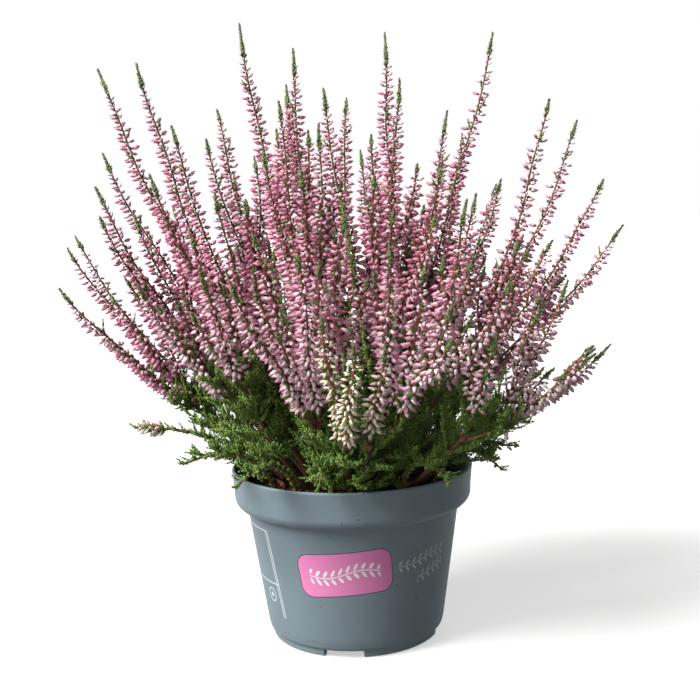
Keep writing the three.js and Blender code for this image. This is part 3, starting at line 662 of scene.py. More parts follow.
class Mass:
    """The triangles of one piece, with the numbers that its materials read at each vertex."""

    def __init__(self):
        self.points, self.faces, self.slots = [], [], []
        self.looks = {"along": [], "tint": [], "pale": []}
        self.total = 0

    def add(self, points, faces, slot, **looks):
        self.points.append(points)
        self.faces.append(faces + self.total)
        self.slots.append(np.full(len(faces), slot))
        for name, values in self.looks.items():
            values.append(np.broadcast_to(looks.get(name, 0.0), len(points)).astype(float))
        self.total += len(points)

    def scatter(self, form, feet, axes, sides, sizes, slot, tint=0.5, pale=0.0):
        """A copy of the form at each foot, along its axis. Sizes are (length, width, thickness) rows."""
        corners, triangles = form
        count, each = len(feet), len(corners)
        if not count:
            return
        axes = unit(axes)
        sides = unit(across(sides, axes))
        sizes = np.broadcast_to(sizes, (count, 3))
        turns = np.stack(
            [sides * sizes[:, 1:2], np.cross(axes, sides) * sizes[:, 2:3], axes * sizes[:, 0:1]], axis=1
        )
        points = feet[:, None, :] + np.einsum("mk,nkj->nmj", corners, turns)
        faces = triangles[None] + (np.arange(count) * each)[:, None, None]
        self.add(
            points.reshape(-1, 3),
            faces.reshape(-1, 3),
            slot,
            along=np.tile(corners[:, 2], count),
            tint=np.repeat(np.broadcast_to(tint, count), each),
            pale=np.repeat(np.broadcast_to(pale, count), each),
        )

    def tube(self, centres, radii, sides, slot, tint=0.5, pale=0.0):
        """A closed tube along the centres."""
        tangents = unit(np.gradient(centres, axis=0))
        normal = across(TUBE_SIDE, tangents[0])
        angles = TURN * np.arange(sides) / sides
        count = len(centres)
        rings = []
        for centre, tangent, radius in zip(centres, tangents, np.broadcast_to(radii, count)):
            normal = unit(across(normal, tangent))
            other = np.cross(tangent, normal)
            ring = np.outer(np.cos(angles), normal) + np.outer(np.sin(angles), other)
            rings.append(centre + radius * ring)
        points = np.concatenate([centres[:1]] + rings + [centres[-1:]])
        along = np.concatenate([[0], np.repeat(np.linspace(0, 1, count), sides), [1]])
        self.add(points, skin(count, sides), slot, along=along, tint=tint, pale=pale)

    def build(self, name, materials):
        points = placed(np.concatenate(self.points))
        faces = np.concatenate(self.faces)
        mesh = bpy.data.meshes.new(name)
        mesh.vertices.add(len(points))
        mesh.vertices.foreach_set("co", points.ravel())
        mesh.loops.add(faces.size)
        mesh.loops.foreach_set("vertex_index", faces.ravel())
        mesh.polygons.add(len(faces))
        mesh.polygons.foreach_set("loop_start", np.arange(0, faces.size, 3))
        mesh.polygons.foreach_set("material_index", np.concatenate(self.slots))
        mesh.polygons.foreach_set("use_smooth", np.full(len(faces), True))
        for look, values in self.looks.items():
            layer = mesh.attributes.new(look, "FLOAT", "POINT")
            layer.data.foreach_set("value", np.concatenate(values))
        for material in materials:
            mesh.materials.append(material)
        mesh.update(calc_edges=True)
        mesh.validate()
        made = bpy.data.objects.new(name, mesh)
        bpy.context.scene.collection.objects.link(made)
        return made


def hand_in(piece, node):
    """The piece stands for a CAD node: it hangs from the root body, and the node is hidden."""
    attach(piece, "root")
    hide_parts(node)


class Path:
    """A Bezier curve measured along its length."""

    def __init__(self, *controls, samples=160):
        t = np.linspace(0, 1, samples)[:, None]
        n = len(controls) - 1
        self.points = sum(math.comb(n, i) * t**i * (1 - t) ** (n - i) * p for i, p in enumerate(controls))
        steps = np.linalg.norm(np.diff(self.points, axis=0), axis=1)
        self.reach = np.concatenate([[0], np.cumsum(steps)])
        self.length = self.reach[-1]

    def wander(self, rng):
        """Bends the path a little from side to side, but not at its ends."""
        share = self.reach[:, None] / self.length
        swing = np.sin(self.reach[:, None] / rng.uniform(9, 15, 3) + rng.uniform(0, 6, 3))
        self.points = self.points + WANDER * swing * np.sin(math.pi * share) ** 0.5 * (1, 1, 0)

    def at(self, s):
        return np.stack([np.interp(s, self.reach, self.points[:, k]) for k in range(3)], axis=-1)

    def toward(self, s):
        s = np.clip(s, 0.5, self.length - 0.5)
        return unit(self.at(s + 0.5) - self.at(s - 0.5))


# ---------- Where the stems and spikes run ----------


def plan_stem(tips):
    """The path of a stem below these tips, and the direction that it ends in."""
    middle = np.mean(tips, axis=0)
    azimuth = math.atan2(middle[1], middle[0])
    elevation = elevation_of(middle - UP * SOIL_TOP)
    root = heading(azimuth, 0) * ROOT_SPREAD * math.cos(elevation) + UP * ROOT_TOP
    rise = elevation_of(middle - root)
    start = heading(azimuth, max(rise - LEAN_IN, LOWEST_START))
    lean = heading(azimuth, max(rise - LEAN_IN / 2, LOWEST_START))
    fork = root + lean * STEM_REACH
    bend = start * STEM_REACH / 2
    return Path(root - start * ROOT_DEPTH, root, root + bend, fork), unit(fork - root - bend)


def plan_low_shoot(degrees, reach, height):
    azimuth = math.radians(degrees)
    root = heading(azimuth, 0) * LOW_SHOOT_ROOT + UP * ROOT_TOP
    start = heading(azimuth, LOW_SHOOT_START)
    tip = heading(azimuth, 0) * reach + UP * height
    return Path(root, root + start * LOW_SHOOT_ARCH, tip)


def plan_spike(fork, tangent, tips, tip):
    tip = np.array(tip, float)
    apart = unit(across(tip - np.mean(tips, axis=0), tangent)) * FORK_SPREAD
    foot = fork + tangent * (SEAT_GAP + FORK_LENGTH - FORK_SINK) + apart
    length = np.linalg.norm(tip - foot)
    chord = (tip - foot) / length
    set_off = unit(tangent * SPIKE_FOLLOW + chord)
    ending = unit(chord + UP * UPTURN)
    low, high = SPIKE_HANDLES
    return Path(foot, foot + set_off * length * low, tip - ending * length * high, tip)


def plan_twig(foot, direction, length, rise, samples):
    """A twig that sets off in a direction and curves up, or None where there is no room for it."""
    end = foot + unit(direction + UP * rise) * length
    path = Path(foot, foot + direction * length * 0.5, end, samples=samples)
    return path if is_clear(path.points) else None


def is_clear(points):
    """Do all these points miss the pot and the room over the bare patches of peat?"""
    flat = np.hypot(points[:, 0], points[:, 1])
    inside = (flat < RIM_RADIUS - ROOM_WITHIN) & (points[:, 2] > SOIL_TOP + ROOM_ABOVE)
    outside = (flat > RIM_RADIUS + ROOM_WITHOUT) | (points[:, 2] > POT_HEIGHT + ROOM_WITHOUT)
    if not np.all(inside | outside):
        return False
    x, y, z = points.T
    near = (flat < RIM_RADIUS) & (y < CLEARING_BACK)
    return not any(
        np.any(near & (x > left) & (x < right) & (z < height - CLEARING_SLOPE * y))
        for left, right, height in CLEARINGS
    )


# ---------- Growing ----------


def clothe(mass, path, rng, size, pale, light):
    """Pairs of scale leaves along a twig, each pair square to the last."""
    pairs = max(3, round(path.length / (LEAF_STEP * size)))
    s = np.repeat(np.linspace(0.4, path.length * 0.98, pairs), 2)
    share = s / path.length
    tangents = path.toward(s)
    turn = np.arange(pairs).repeat(2) * math.pi / 2 + np.tile([0, math.pi], pairs)
    radial = about_twig(LEAF_SIDE, tangents, turn + rng.normal(0, 0.25, 2 * pairs))
    spread = mix(*LEAF_SPREAD, share**1.5) + rng.normal(0, 0.1, len(s))
    axes = unit(tangents + radial * spread[:, None])
    scale = size * mix(1.0, 0.6, share**2) * rng.uniform(0.85, 1.15, len(s))
    tint = np.clip(light + share * 0.25 + rng.normal(0, 0.1, len(s)), 0, 1)
    sizes = np.outer(scale, LEAF_SIZE)
    mass.scatter(LEAF_FORM, path.at(s), axes, np.cross(tangents, radial), sizes, LEAF, tint, pale)


def grow_shoot(mass, foot, direction, length, rng, size=1.0, pale=0.0, light=0.4):
    """A leafy shoot, whose leaves hide its twig. Says whether there was room for it."""
    path = plan_twig(foot, direction, length, rng.uniform(0.05, 0.4), 8)
    if path:
        clothe(mass, path, rng, size, pale, light)
    return bool(path)


def grow_branch(mass, foot, direction, length, rng, pale, every=SHOOT_EVERY):
    """A leafy branch: short shoots on both sides of a twig, as in a feather."""
    path = plan_twig(foot, direction, length, rng.uniform(0.0, 0.45), 16)
    if not path:
        return False
    mass.tube(path.at(np.linspace(0, length * 0.96, 4)), TWIG_RADII, 3, BARK, tint=0.4, pale=0.2)
    light = rng.uniform(0.1, 0.6)
    clothe(mass, path, rng, 1.0, pale, light)
    flat = unit(across(UP + rng.normal(0, 0.5, 3), path.toward(length / 2)))
    hand = 1
    place = rng.uniform(1.5, 3)
    while place < length - 1.5:
        tangent = path.toward(place)
        side = np.cross(flat, tangent) * hand
        onward = unit(tangent + side * rng.uniform(0.6, 1.1) + flat * rng.normal(0.1, 0.3))
        reach = mix(*SHOOT_LENGTHS, place / length) * rng.uniform(0.75, 1.25)
        grow_shoot(mass, path.at(place), onward, reach, rng, BRANCH_LEAF, pale, light + rng.normal(0, 0.12))
        hand = -hand
        place += every * rng.uniform(0.75, 1.25)
    return True


def grow_round(mass, path, places, lengths, rng, grow, end=1.0):
    """Shoots or branches at places along a path, each turned on from the last by the golden angle.

    Their lengths lie between the two given, and at the path's end are the share called end of that.
    """
    lengths = rng.uniform(*lengths, len(places)) * mix(1.0, end, places / path.length)
    turn = rng.uniform(0, TURN)
    for place, length in zip(places, lengths):
        foot, tangent = path.at(place), path.toward(place)
        out = unit(across(outward(foot) + UP * 0.01, tangent))
        other = np.cross(tangent, out)
        for _ in range(ATTEMPTS):
            turn += GOLDEN_ANGLE
            radial = math.cos(turn) * out + math.sin(turn) * other
            direction = unit(tangent + radial * rng.uniform(0.75, 1.35) + UP * 0.12)
            direction = unit(np.maximum(direction, (-1, -1, LOWEST_DROOP)))
            if grow(mass, foot, direction, length, rng):
                break


def worn(rng):
    """How far a shoot has turned: most are green, and a few are rust-brown."""
    return rng.uniform(0.6, 1.0) if rng.random() < RUSTY else rng.uniform(0.0, 0.12)


def small_shoot(mass, foot, direction, length, rng):
    return grow_shoot(mass, foot, direction, length, rng, SMALL_LEAF, worn(rng), rng.uniform(0.1, 0.6))


def leafy_branch(mass, foot, direction, length, rng):
    return grow_branch(mass, foot, direction, length, rng, rng.uniform(0.0, 0.16))


def grow_tip(mass, path, length, rng):
    """The scaly end of a spike: small leaves, close together, that stand off it a little."""
    start = path.length - length
    s = start + length * np.linspace(0, 0.93, int(length * TIP_LEAVES)) ** 0.95
    share = (s - start) / length
    tangents = path.toward(s)
    turn = np.arange(len(s)) * TIP_TURN + rng.normal(0, 0.3, len(s)) + rng.uniform(0, 6)
    radial = about_twig(TIP_SIDE, tangents, turn)
    swell = TIP_WIDTH * mix(0.75, 0.3, share) * (0.6 + 0.4 * np.sin(math.pi * np.minimum(share * 2, 1)))
    feet = path.at(s) + radial * swell[:, None] * 0.45
    spread = mix(*TIP_SPREAD, share) + rng.normal(0, 0.14, len(s))
    axes = unit(tangents + radial * spread[:, None])
    scale = mix(1.0, 0.62, share) * rng.uniform(0.8, 1.2, len(s))
    tint = np.clip(rng.normal(0.45, 0.2, len(s)), 0, 1)
    sizes = np.outer(scale, TIP_LEAF)
    mass.scatter(LEAF_FORM, feet, axes, np.cross(tangents, radial), sizes, TIP, tint, share)
    core = np.linspace(start - 1, path.length - 0.6, len(TIP_CORE))
    mass.tube(path.at(core), TIP_CORE, 5, TIP, tint=0.3, pale=0.5)


def bud_places(path, first, last, cream, rng, all_round):
    """Places for buds along a spike: closer together on an upright one, sparser in the upper right."""
    upright = max(0.0, path.toward(last)[2]) ** 4
    crowding = TUFT_STEP if all_round else mix(mix(*LEANING_STEPS, upright), CREAM_STEP, cream**2)
    x, _, z = path.points[-1]
    highest = SPARSE if x > SPARSE_SIDE[0] and z > SPARSE_SIDE[1] else 1.0
    places, place = [], first
    while place < last:
        places.append(place)
        share = (place - first) / (last - first)
        place += mix(*BUD_STEPS, share) * mix(1.0, highest, share**2) * crowding * rng.uniform(0.8, 1.2)
    return np.array(places)


def grow_buds(mass, path, first, last, cream, rng, all_round=False):
    """Buds on their stalks from first to last along a spike, most of them on its outer and lower side."""
    s = bud_places(path, first, last, cream, rng, all_round)
    count = len(s)
    share = (s - first) / (last - first)
    feet, tangents = path.at(s), path.toward(s)
    lean = np.clip(np.arccos(np.clip(tangents[:, 2], -1, 1)) / LEANING, 0, 1)
    spread = math.pi if all_round else mix(math.pi, LOWER_SIDE, lean)
    golden = np.mod(np.arange(count) * GOLDEN_SHARE + rng.random(), 1.0)
    turn = (2 * golden - 1) * spread + rng.normal(0, 0.12, count)
    radial = about_twig(outward(feet) * 0.7 - UP, tangents, turn)
    young = np.clip((share - YOUNG_SHARE) / (1 - YOUNG_SHARE), 0, 1)
    droop = mix(mix(*DROOPS, cream), HIGH_DROOP, share) + rng.normal(0, 0.12, count)
    onward = tangents * (TUFT_FORWARD if all_round else mix(*FORWARD, young)[:, None])
    axes = unit(radial + onward - UP * droop[:, None] + rng.normal(0, 0.1, (count, 3)))
    stalk = mix(*PEDICELS, share) * mix(1, YOUNG_STALK, young) * rng.uniform(0.8, 1.2, count)
    length = mix(*BUD_LENGTHS, share**1.3) * mix(1, YOUNG_BUD, young) * rng.uniform(0.86, 1.12, count)
    length *= mix(1, CREAM_BUD, cream)
    bases = feet + radial * PEDICEL_START + axes * stalk[:, None]
    tint = rng.random(count)
    # Paler low at the front: partly the buds' own blush, partly painted light for the lit low front buds.
    low = np.clip((PALE_HEIGHT - feet[:, 2]) / PALE_FALL, 0, 1)
    low *= np.clip((PALE_DEPTH - feet[:, 1]) / PALE_NEARER, 0, 1)
    pale = cream + low * LOW_PALENESS_AND_PAINTED_LIGHT + young * YOUNG_PALENESS + rng.normal(0, 0.1, count)
    width = length * BUD_WIDTH
    sizes = np.stack([length, width, width * BUD_THICKNESS], axis=1)
    mass.scatter(BUD_FORM, bases, axes, tangents, sizes, BUD, tint, np.clip(pale, 0, 1))
    thin = np.full(count, 0.5)
    mass.scatter(LEAF_FORM, feet, axes, tangents, np.stack([stalk + 0.5, thin, thin], 1), BARK)
    leaning = unit(axes + radial * 0.3 + rng.normal(0, 0.2, (count, 3)))
    bract = np.outer(length, BRACT_SHAPE)
    mass.scatter(LEAF_FORM, bases - axes * 0.5, leaning, tangents, bract, BRACT, rng.random(count) * 0.6)


def grow_spike(mass, path, cream, rng, first, tip_length):
    """A rachis with its buds, its scaly tip and small leafy shoots among the buds."""
    last = path.length - tip_length * TIP_BARE
    s = np.linspace(0, path.length - 1, max(5, int(path.length / 4)))
    x, _, z = path.points[-1]
    # Tan to the right is partly painted light on the lit right-hand spikes, and partly the rachis's own
    # colour.
    tan = np.clip(TAN_SHARE + x / TAN_AND_PAINTED_LIGHT_ACROSS - (z - TAN_HEIGHT) / TAN_DOWN + rng.normal(0, 0.15), 0, 1)
    mass.tube(path.at(s), mix(*RACHIS_RADII, (s / path.length) ** 0.8), 5, BARK, tint=tan)
    grow_buds(mass, path, first, last, cream, rng)
    grow_tip(mass, path, tip_length, rng)
    places = np.arange(first + 6, last - 10, AMONG_EVERY) + rng.uniform(-3, 3)
    grow_round(mass, path, places, AMONG_BUDS, rng, small_shoot)


def grow_side_spike(mass, path, rng):
    """A short pink spike from a long one, more often on its upper and inner side."""
    place = path.length * rng.uniform(*SIDE_SPIKE_ZONE)
    length = min(rng.uniform(*SIDE_SPIKE_LENGTHS), (path.length - place) * 0.8)
    foot, tangent = path.at(place), path.toward(place)
    radial = unit(across(rng.normal(0, 1, 3) - outward(foot) * 0.7 + UP, tangent))
    end = foot + unit(tangent + radial * 0.32 + UP * 0.1) * length
    side = Path(foot, foot + unit(tangent + radial * 0.8) * length * 0.4, end)
    grow_spike(mass, side, 0.0, rng, SIDE_SPIKE_START, rng.uniform(*SIDE_TIP_LENGTHS))


def grow_main_spike(mass, path, cream, start, every, rng):
    """One of the spikes that the photograph shows, with its leafy foot and its side spikes."""
    first = start * rng.uniform(0.7, 1.15)
    longer = TALLER_TIP if path.points[-1][2] > TALL else 0
    grow_spike(mass, path, cream, rng, first, rng.uniform(*TIP_LENGTHS) + longer)
    grow_round(mass, path, np.arange(1.5, first + 12, FOOT_EVERY), FOOT_SHOOTS, rng, small_shoot)
    if start > FLOWER_START:
        places = np.arange(4, max(first - 2, LEAFY_FOOT), FOOT_BRANCH_EVERY)
        grow_round(mass, path, places, FOOT_BRANCHES, rng, leafy_branch)
    if not cream:
        for _ in range(int(path.length / every)):
            grow_side_spike(mass, path, rng)


def make_spray(name, node, tips, cream, start, seed, every=SIDE_SPIKE_EVERY, faded=None):
    """A fork with its flower spikes. Cream runs from 0, a pink spray, to 1."""
    rng = np.random.default_rng(seed)
    mass = Mass()
    stem, tangent = plan_stem(tips)
    fork = stem.at(stem.length)
    knuckle = fork + np.outer(np.linspace(SEAT_GAP, SEAT_GAP + FORK_LENGTH, len(KNUCKLE_RADII)), tangent)
    mass.tube(knuckle, KNUCKLE_RADII, 8, BARK, pale=0.5)
    for number, tip in enumerate(tips):
        path = plan_spike(fork, tangent, tips, tip)
        path.wander(rng)
        grow_main_spike(mass, path, FADED_SHARE if number == faded else cream, start, every, rng)
    hand_in(mass.build(name, PLANT_MATERIALS), node)


def make_stem(name, node, tips, seed, more):
    """A stem with leafy branches, small shoots and leaders, and a branch to each of the places in more."""
    rng = np.random.default_rng(seed)
    mass = Mass()
    path, _ = plan_stem(tips)
    s = np.linspace(0, path.length, 12)
    mass.tube(path.at(s), mix(*STEM_RADII, s / path.length), 7, BARK, pale=mix(0.9, 0.4, rng.random()))
    every = STEM_EVERY[elevation_of(path.toward(path.length)) > STEM_UPRIGHT]
    grow_round(mass, path, np.arange(ROOT_DEPTH + 2, path.length, every), BRANCH_LENGTHS, rng, leafy_branch)
    places = np.arange(ROOT_DEPTH + 3, path.length, STEM_SHOOT_EVERY)
    grow_round(mass, path, places, STEM_SHOOTS, rng, small_shoot)
    for _ in range(LEADERS):
        foot = path.at(path.length * rng.uniform(*LEADER_FEET))
        aim = np.array(LEADER_AIM) + rng.normal(0, LEADER_SPREAD, 3)
        direction = unit(path.toward(path.length) + unit(aim - foot) * rng.uniform(0.5, 1.1))
        length = rng.uniform(*LEADER_LENGTHS)
        grow_branch(mass, foot, direction, length, rng, rng.uniform(0, 0.14), LEADER_EVERY)
    for tip in more:
        foot = path.at(path.length * rng.uniform(*FILL_FEET))
        reach = np.linalg.norm(tip - foot)
        grow_branch(mass, foot, (tip - foot) / reach, reach, rng, rng.uniform(0, 0.14), FILL_EVERY)
    hand_in(mass.build(name, PLANT_MATERIALS), node)


def grow_fallen(mass, azimuth, rng):
    """Dead rust-brown sprigs that lie on the peat."""
    for _ in range(FALLEN):
        turn = azimuth + rng.uniform(-0.3, 0.3)
        foot = heading(turn, 0) * rng.uniform(*FALLEN_REACH) + UP * (SOIL_TOP + 1.5)
        lie = heading(turn + math.pi / 2 + rng.normal(0, 0.5), 0)
        along = lie * rng.choice((-1, 1)) * rng.uniform(*FALLEN_LENGTHS)
        path = Path(foot, foot + along / 2 + UP * 1.5, foot + along, samples=8)
        clothe(mass, path, rng, 1.0, rng.uniform(0.65, 1.0), 0.5)


def make_low_shoot(name, node, shoot, seed, budding):
    """A leafy shoot that spills over the rim, with dead sprigs on the peat below it."""
    rng = np.random.default_rng(seed)
    mass = Mass()
    path = plan_low_shoot(*shoot)
    s = np.linspace(0, path.length, 14)
    mass.tube(path.at(s), mix(*LOW_SHOOT_RADII, s / path.length), 6, BARK, pale=0.5)
    clothe(mass, path, rng, LOW_LEAF, 0.0, rng.uniform(0.2, 0.5))
    places = np.arange(3, path.length * LOW_BRANCH_ZONES[budding], LOW_BRANCH_EVERY)
    grow_round(mass, path, places, LOW_BRANCHES, rng, leafy_branch, LOW_BRANCH_END)
    grow_round(mass, path, np.arange(2, path.length, LOW_SMALL_EVERY), LOW_SMALL, rng, small_shoot)
    if budding:
        first = path.length - TUFT_LENGTH
        grow_buds(mass, path, first, path.length - 1, TUFT_CREAM, rng, all_round=True)
    end = path.at(path.length - 1.0)
    grow_shoot(mass, end, path.toward(path.length - 1.0), END_SHOOT, rng)
    grow_fallen(mass, math.radians(shoot[0]), rng)
    hand_in(mass.build(name, PLANT_MATERIALS), node)


# ---------- Soil ----------


def make_soil():
    """Peat: a lumpy top, sides down to the floor, crumbs and fibres."""
    rng = np.random.default_rng(SOIL_SEED)
    mass = Mass()
    circle = about_axis(1, TURN * np.arange(SOIL_SEGMENTS) / SOIL_SEGMENTS, 0)
    rings = [circle * r for r in np.linspace(SOIL_INNER, SOIL_EDGE, SOIL_RINGS)]
    for ring in rings:
        for point in ring:
            lump = sum(noise.noise(Vector(point) * scale) * height for scale, height in LUMPS)
            fall = max(0.0, np.linalg.norm(point[:2]) - SOIL_SHOULDER) * SOIL_FALL
            point[2] = SOIL_TOP - fall + lump
    rings += [circle * radius + UP * height for radius, height in SOIL_SIDE]
    points = np.concatenate([[UP * SOIL_TOP]] + rings + [[UP * SOIL_SIDE[-1][1]]])
    mass.add(points, skin(len(rings), SOIL_SEGMENTS)[:, ::-1], 0, tint=0.3)

    def on_top(count):
        radius = CRUMB_REACH * np.sqrt(rng.random(count))
        angle = rng.uniform(0, TURN, count)
        fall = np.maximum(0, radius - SOIL_SHOULDER) * SOIL_FALL
        return about_axis(radius, angle, SOIL_TOP - fall + rng.uniform(-0.6, 0.9, count))

    size = rng.uniform(*CRUMB_SIZES, CRUMBS) ** 1.2
    sizes = np.stack([size] + [size * rng.uniform(0.7, 1.3, CRUMBS) for _ in range(2)], axis=1)
    feet = on_top(CRUMBS)
    axes, sides = rng.normal(0, 1, (2, CRUMBS, 3))
    mass.scatter(CRUMB_FORM, feet, axes, sides, sizes, 0, rng.random(CRUMBS))
    flat = rng.normal(0, 1, (FIBRES, 3)) * (1, 1, 0.3)
    spans = (FIBRE_LENGTHS, FIBRE_WIDTHS, FIBRE_WIDTHS)
    sizes = np.stack([rng.uniform(*span, FIBRES) for span in spans], axis=1)
    feet = on_top(FIBRES) + UP * 0.5
    sides = rng.normal(0, 1, (FIBRES, 3))
    mass.scatter(LEAF_FORM, feet, flat, sides, sizes, 0, rng.uniform(0.5, 1.0, FIBRES))
    hand_in(mass.build("peat_fine", [peat_material()]), "soil")


# ---------- Pot ----------


def arc(centre, radius, start, end, count):
    """Points on an arc in the plane of radius and height, angles in degrees."""
    turns = np.radians(np.linspace(start, end, count))
    return [(centre[0] + radius * math.cos(a), centre[1] + radius * math.sin(a)) for a in turns]


def outset(radius, *points):
    """Points of the outline from how far they are outside a radius, and their heights."""
    return [(radius + out, height) for out, height in points]


def pot_outline():
    """Half a section of the pot, round from the middle of the underside to the middle of the inside."""
    band = POT_HEIGHT - BAND_HEIGHT
    ring = FOOT_RADIUS - FOOT_RING_WIDTH
    lip = LIP_WIDTH / 2
    inside = FLOOR_HEIGHT + WALL
    return [
        (1.0, FLOOR_HEIGHT),
        *outset(ring, (-0.6, FLOOR_HEIGHT), (0, FLOOR_HEIGHT - 0.6), (0, 0.4), (0.4, 0)),
        *outset(FOOT_RADIUS, (0.4, 0), (0.9, 0.4), (1.2, 2.0), (1.3, 3.2)),
        *outset(FOOT_RADIUS, (1.5, 3.6), (2.3, 4.1), (2.75, 4.9)),
        *outset(BODY_FOOT_RADIUS, (0, 6.0), (0.2, 6.9), (0.35, 7.3), (0.75, 10.2)),
        (mix(BODY_FOOT_RADIUS, BODY_TOP_RADIUS, 0.5), mix(FOOT_FILLET, band, 0.5)),
        *outset(BODY_TOP_RADIUS, (-0.2, band - 0.6), (0.1, band - 0.1), (0.9, band + 0.15)),
        *arc((BAND_WAIST_RADIUS - 5.5, band + 5.6), 5.5, -80, 0, 9),
        (BAND_WAIST_RADIUS + 0.1, band + BAND_ROUNDING),
        (RIM_RADIUS - 0.12, POT_HEIGHT - 1.6),
        *arc((RIM_RADIUS - lip, POT_HEIGHT - lip), lip, 0, 180, 9),
        (RIM_RADIUS - LIP_WIDTH - 0.2, POT_HEIGHT - 3),
        *outset(BODY_TOP_RADIUS, (3.3, band + 5.6), (2.2, band + 3.4), (-WALL, band + 1)),
        *outset(BODY_FOOT_RADIUS - WALL, (0, inside + 1), (-1, inside)),
        (1.0, inside),
    ]


def apart(a, b):
    """The angle between two directions round the axis."""
    return abs(math.remainder(a - b, TURN))


def pot_angles():
    """Even steps round the pot, with two close columns at each side of each notch."""
    half = math.asin(NOTCH_WIDTH / 2 / FOOT_RADIUS)
    middles = [TURN * k / NOTCH_COUNT + FRONT_NOTCH for k in range(NOTCH_COUNT)]
    sides = [middle + hand * half for middle in middles for hand in (-1, 1)]
    step = TURN / POT_SEGMENTS
    even = [step * (i + 0.5) for i in range(POT_SEGMENTS)]
    far = [a for a in even if all(apart(a, s) > step * 0.6 for s in sides)]
    columns = [s + offset for s in sides for offset in (-0.002, 0.002)]
    return np.array(sorted(a % TURN for a in far + columns)), middles, half


def make_pot():
    """The pot: its outline turned round the axis, with notches in the foot and holes in the floor."""
    mass = Mass()
    angles, middles, half = pot_angles()
    in_notch = np.array([any(apart(a, m) < half for m in middles) for a in angles])
    rings = []
    for r, z in pot_outline():
        raised = (z < NOTCH_HEIGHT) & in_notch
        rings.append(about_axis(r, angles, np.where(raised, NOTCH_HEIGHT + z * 0.01, z)))
    points = np.concatenate([[UP * FLOOR_HEIGHT]] + rings + [[UP * (FLOOR_HEIGHT + WALL)]])
    mass.add(points, skin(len(rings), len(angles)), 0)
    pot = mass.build("pot_fine", [pot_material()])
    drill(pot, middles)
    pot.data.set_sharp_from_angle(angle=math.radians(38))
    hand_in(pot, "pot")


def drill(pot, middles):
    """Cuts the drain holes through the floor."""
    drills = Mass()
    span = np.outer([FLOOR_HEIGHT - 1.5, FLOOR_HEIGHT + WALL + 1.5], UP)
    for middle in middles:
        drills.tube(heading(middle, 0) * DRAIN_CENTRE_RADIUS + span, DRAIN_RADIUS, 24, 0)
    tool = drills.build("drills", [])
    cut = pot.modifiers.new("holes", "BOOLEAN")
    cut.object = tool
    cut.operation = "DIFFERENCE"
    cut.solver = "EXACT"
    depsgraph = bpy.context.evaluated_depsgraph_get()
    mesh = bpy.data.meshes.new_from_object(pot.evaluated_get(depsgraph))
    pot.modifiers.clear()
    pot.data = mesh
    bpy.data.objects.remove(tool)


# ---------- Stage ----------

CAMERA_DISTANCE = 550
CAMERA_HEIGHT = 215
CAMERA_SIDE = 0.8
CAMERA_PITCH = 0.132
CAMERA_ROLL = -0.031
FOCAL_PIXELS = 1120
FRAME_PIXELS = 700
SENSOR = 36
# Azimuth, elevation and spread in degrees, and strength
LAMPS = {
    "key": (205, 43, 30, 5.8),  # from the left of the camera
    "fill": (238, 10, 50, 1.05),  # low, from nearer the camera
    "rim": (52, 40, 60, 1.15),  # from behind on the right
}
AMBIENT = 0.085
FLOOR_GLOW = 0.5  # seen by the camera alone, and lightens the shadow on the floor
FLOOR_DROP = 0.0002  # metres below the pot's foot
ROOM_RADIUS = 9.0  # metres


def make_camera():
    data = bpy.data.cameras.new("camera")
    data.sensor_width = SENSOR
    data.lens = FOCAL_PIXELS / FRAME_PIXELS * SENSOR
    camera = bpy.data.objects.new("camera", data)
    turn = Matrix.Rotation(math.pi / 2 - CAMERA_PITCH, 4, "X") @ Matrix.Rotation(CAMERA_ROLL, 4, "Z")
    camera.matrix_world = Matrix.Translation(placed((CAMERA_SIDE, -CAMERA_DISTANCE, CAMERA_HEIGHT))) @ turn
    bpy.context.scene.collection.objects.link(camera)
    bpy.context.scene.camera = camera


def make_lamp(name, azimuth, elevation, spread, strength):
    """A broad, distant lamp, so that the whole floor is lit alike."""
    data = bpy.data.lights.new(name, "SUN")
    data.energy = strength
    data.angle = math.radians(spread)
    light = bpy.data.objects.new(name, data)
    toward = -heading(math.radians(azimuth), math.radians(elevation))
    light.rotation_euler = Vector(toward).to_track_quat("-Z", "Y").to_euler()
    bpy.context.scene.collection.objects.link(light)


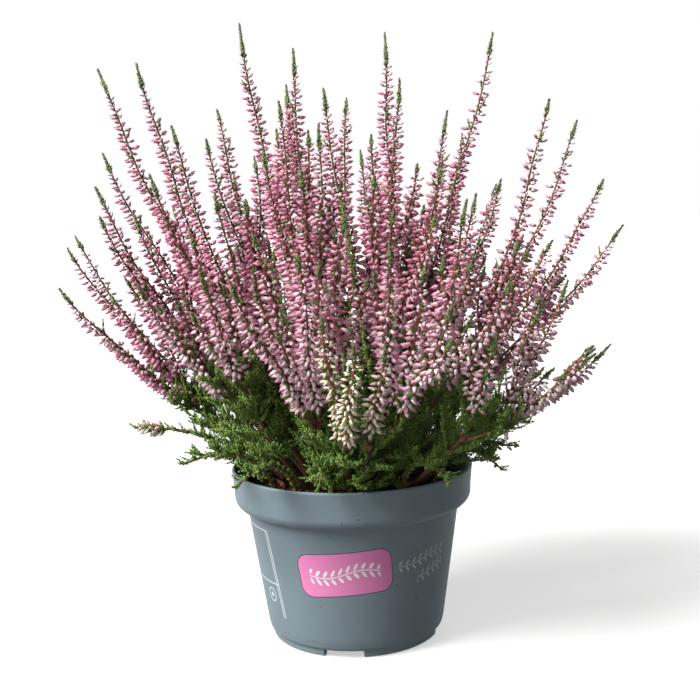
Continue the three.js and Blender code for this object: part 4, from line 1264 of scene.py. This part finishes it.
def make_stage():
    """A pale floor in a white room. The room is seen, but the light comes from the lamps and the world."""
    floor = bpy.data.objects.new("floor", bpy.data.meshes.new("floor"))
    corners = [(ROOM_RADIUS * x, ROOM_RADIUS * y, 0) for x, y in ((-1, -1), (1, -1), (1, 1), (-1, 1))]
    floor.data.from_pydata(corners, [], [(0, 1, 2, 3)])
    floor.location.z = ORIGIN[2] - FLOOR_DROP
    floor.visible_diffuse = False
    m = Shader("floor", 0.9, 0.1)
    m.color(m.ramp(m.noise(3), (0.3, "c2c2c1"), (0.7, "c6c6c5")))
    m.glow(FLOOR_GLOW)
    floor.data.materials.append(m.material)
    bpy.context.scene.collection.objects.link(floor)

    bpy.ops.mesh.primitive_uv_sphere_add(segments=48, ring_count=24, radius=ROOM_RADIUS)
    room = bpy.context.object
    room.name = "room"
    room.visible_diffuse = room.visible_glossy = room.visible_shadow = False
    m = Shader("room", 1.0, 0.0)
    m.color((0, 0, 0, 1))
    m.glow(1.0)
    room.data.materials.append(m.material)

    world = bpy.data.worlds.new("studio")
    world.use_nodes = True
    background = world.node_tree.nodes["Background"].inputs
    background["Color"].default_value = (1, 1, 1, 1)
    background["Strength"].default_value = AMBIENT
    bpy.context.scene.world = world
    bpy.context.scene.view_settings.view_transform = "Standard"
    for name, lamp in LAMPS.items():
        make_lamp(name, *lamp)


make_pot()
make_soil()
for index, tips in enumerate(PINK_SPRAYS, 1):
    start = OTHER_STARTS.get(index, FLOWER_START)
    every = BUSHY.get(index, SIDE_SPIKE_EVERY)
    name, node = f"bloom_{index:02d}", f"spray_{index:02d}"
    make_spray(name, node, tips, 0.0, start, PINK_SEED + index, every, FADED.get(index))
    name, node = f"leafy_stem_{index:02d}", f"stem_{index:02d}"
    make_stem(name, node, tips, STEM_SEED + index, FILL_TIPS.get(index, []))
for index, tips in enumerate(CREAM_SPRAYS, 1):
    cream = CREAM_SHARES[index - 1]
    name, node = f"cream_bloom_{index}", f"cream_spray_{index}"
    make_spray(name, node, tips, cream, CREAM_START, CREAM_SEED + index)
    name, node = f"leafy_cream_stem_{index}", f"cream_stem_{index}"
    make_stem(name, node, tips, CREAM_STEM_SEED + index, CREAM_FILL_TIPS[index])
for index, shoot in enumerate(LOW_SHOOTS, 1):
    name, node = f"leafy_low_shoot_{index}", f"low_shoot_{index}"
    make_low_shoot(name, node, shoot, SHOOT_SEED + index, index == BUDDING_SHOOT)

make_stage()
make_camera()
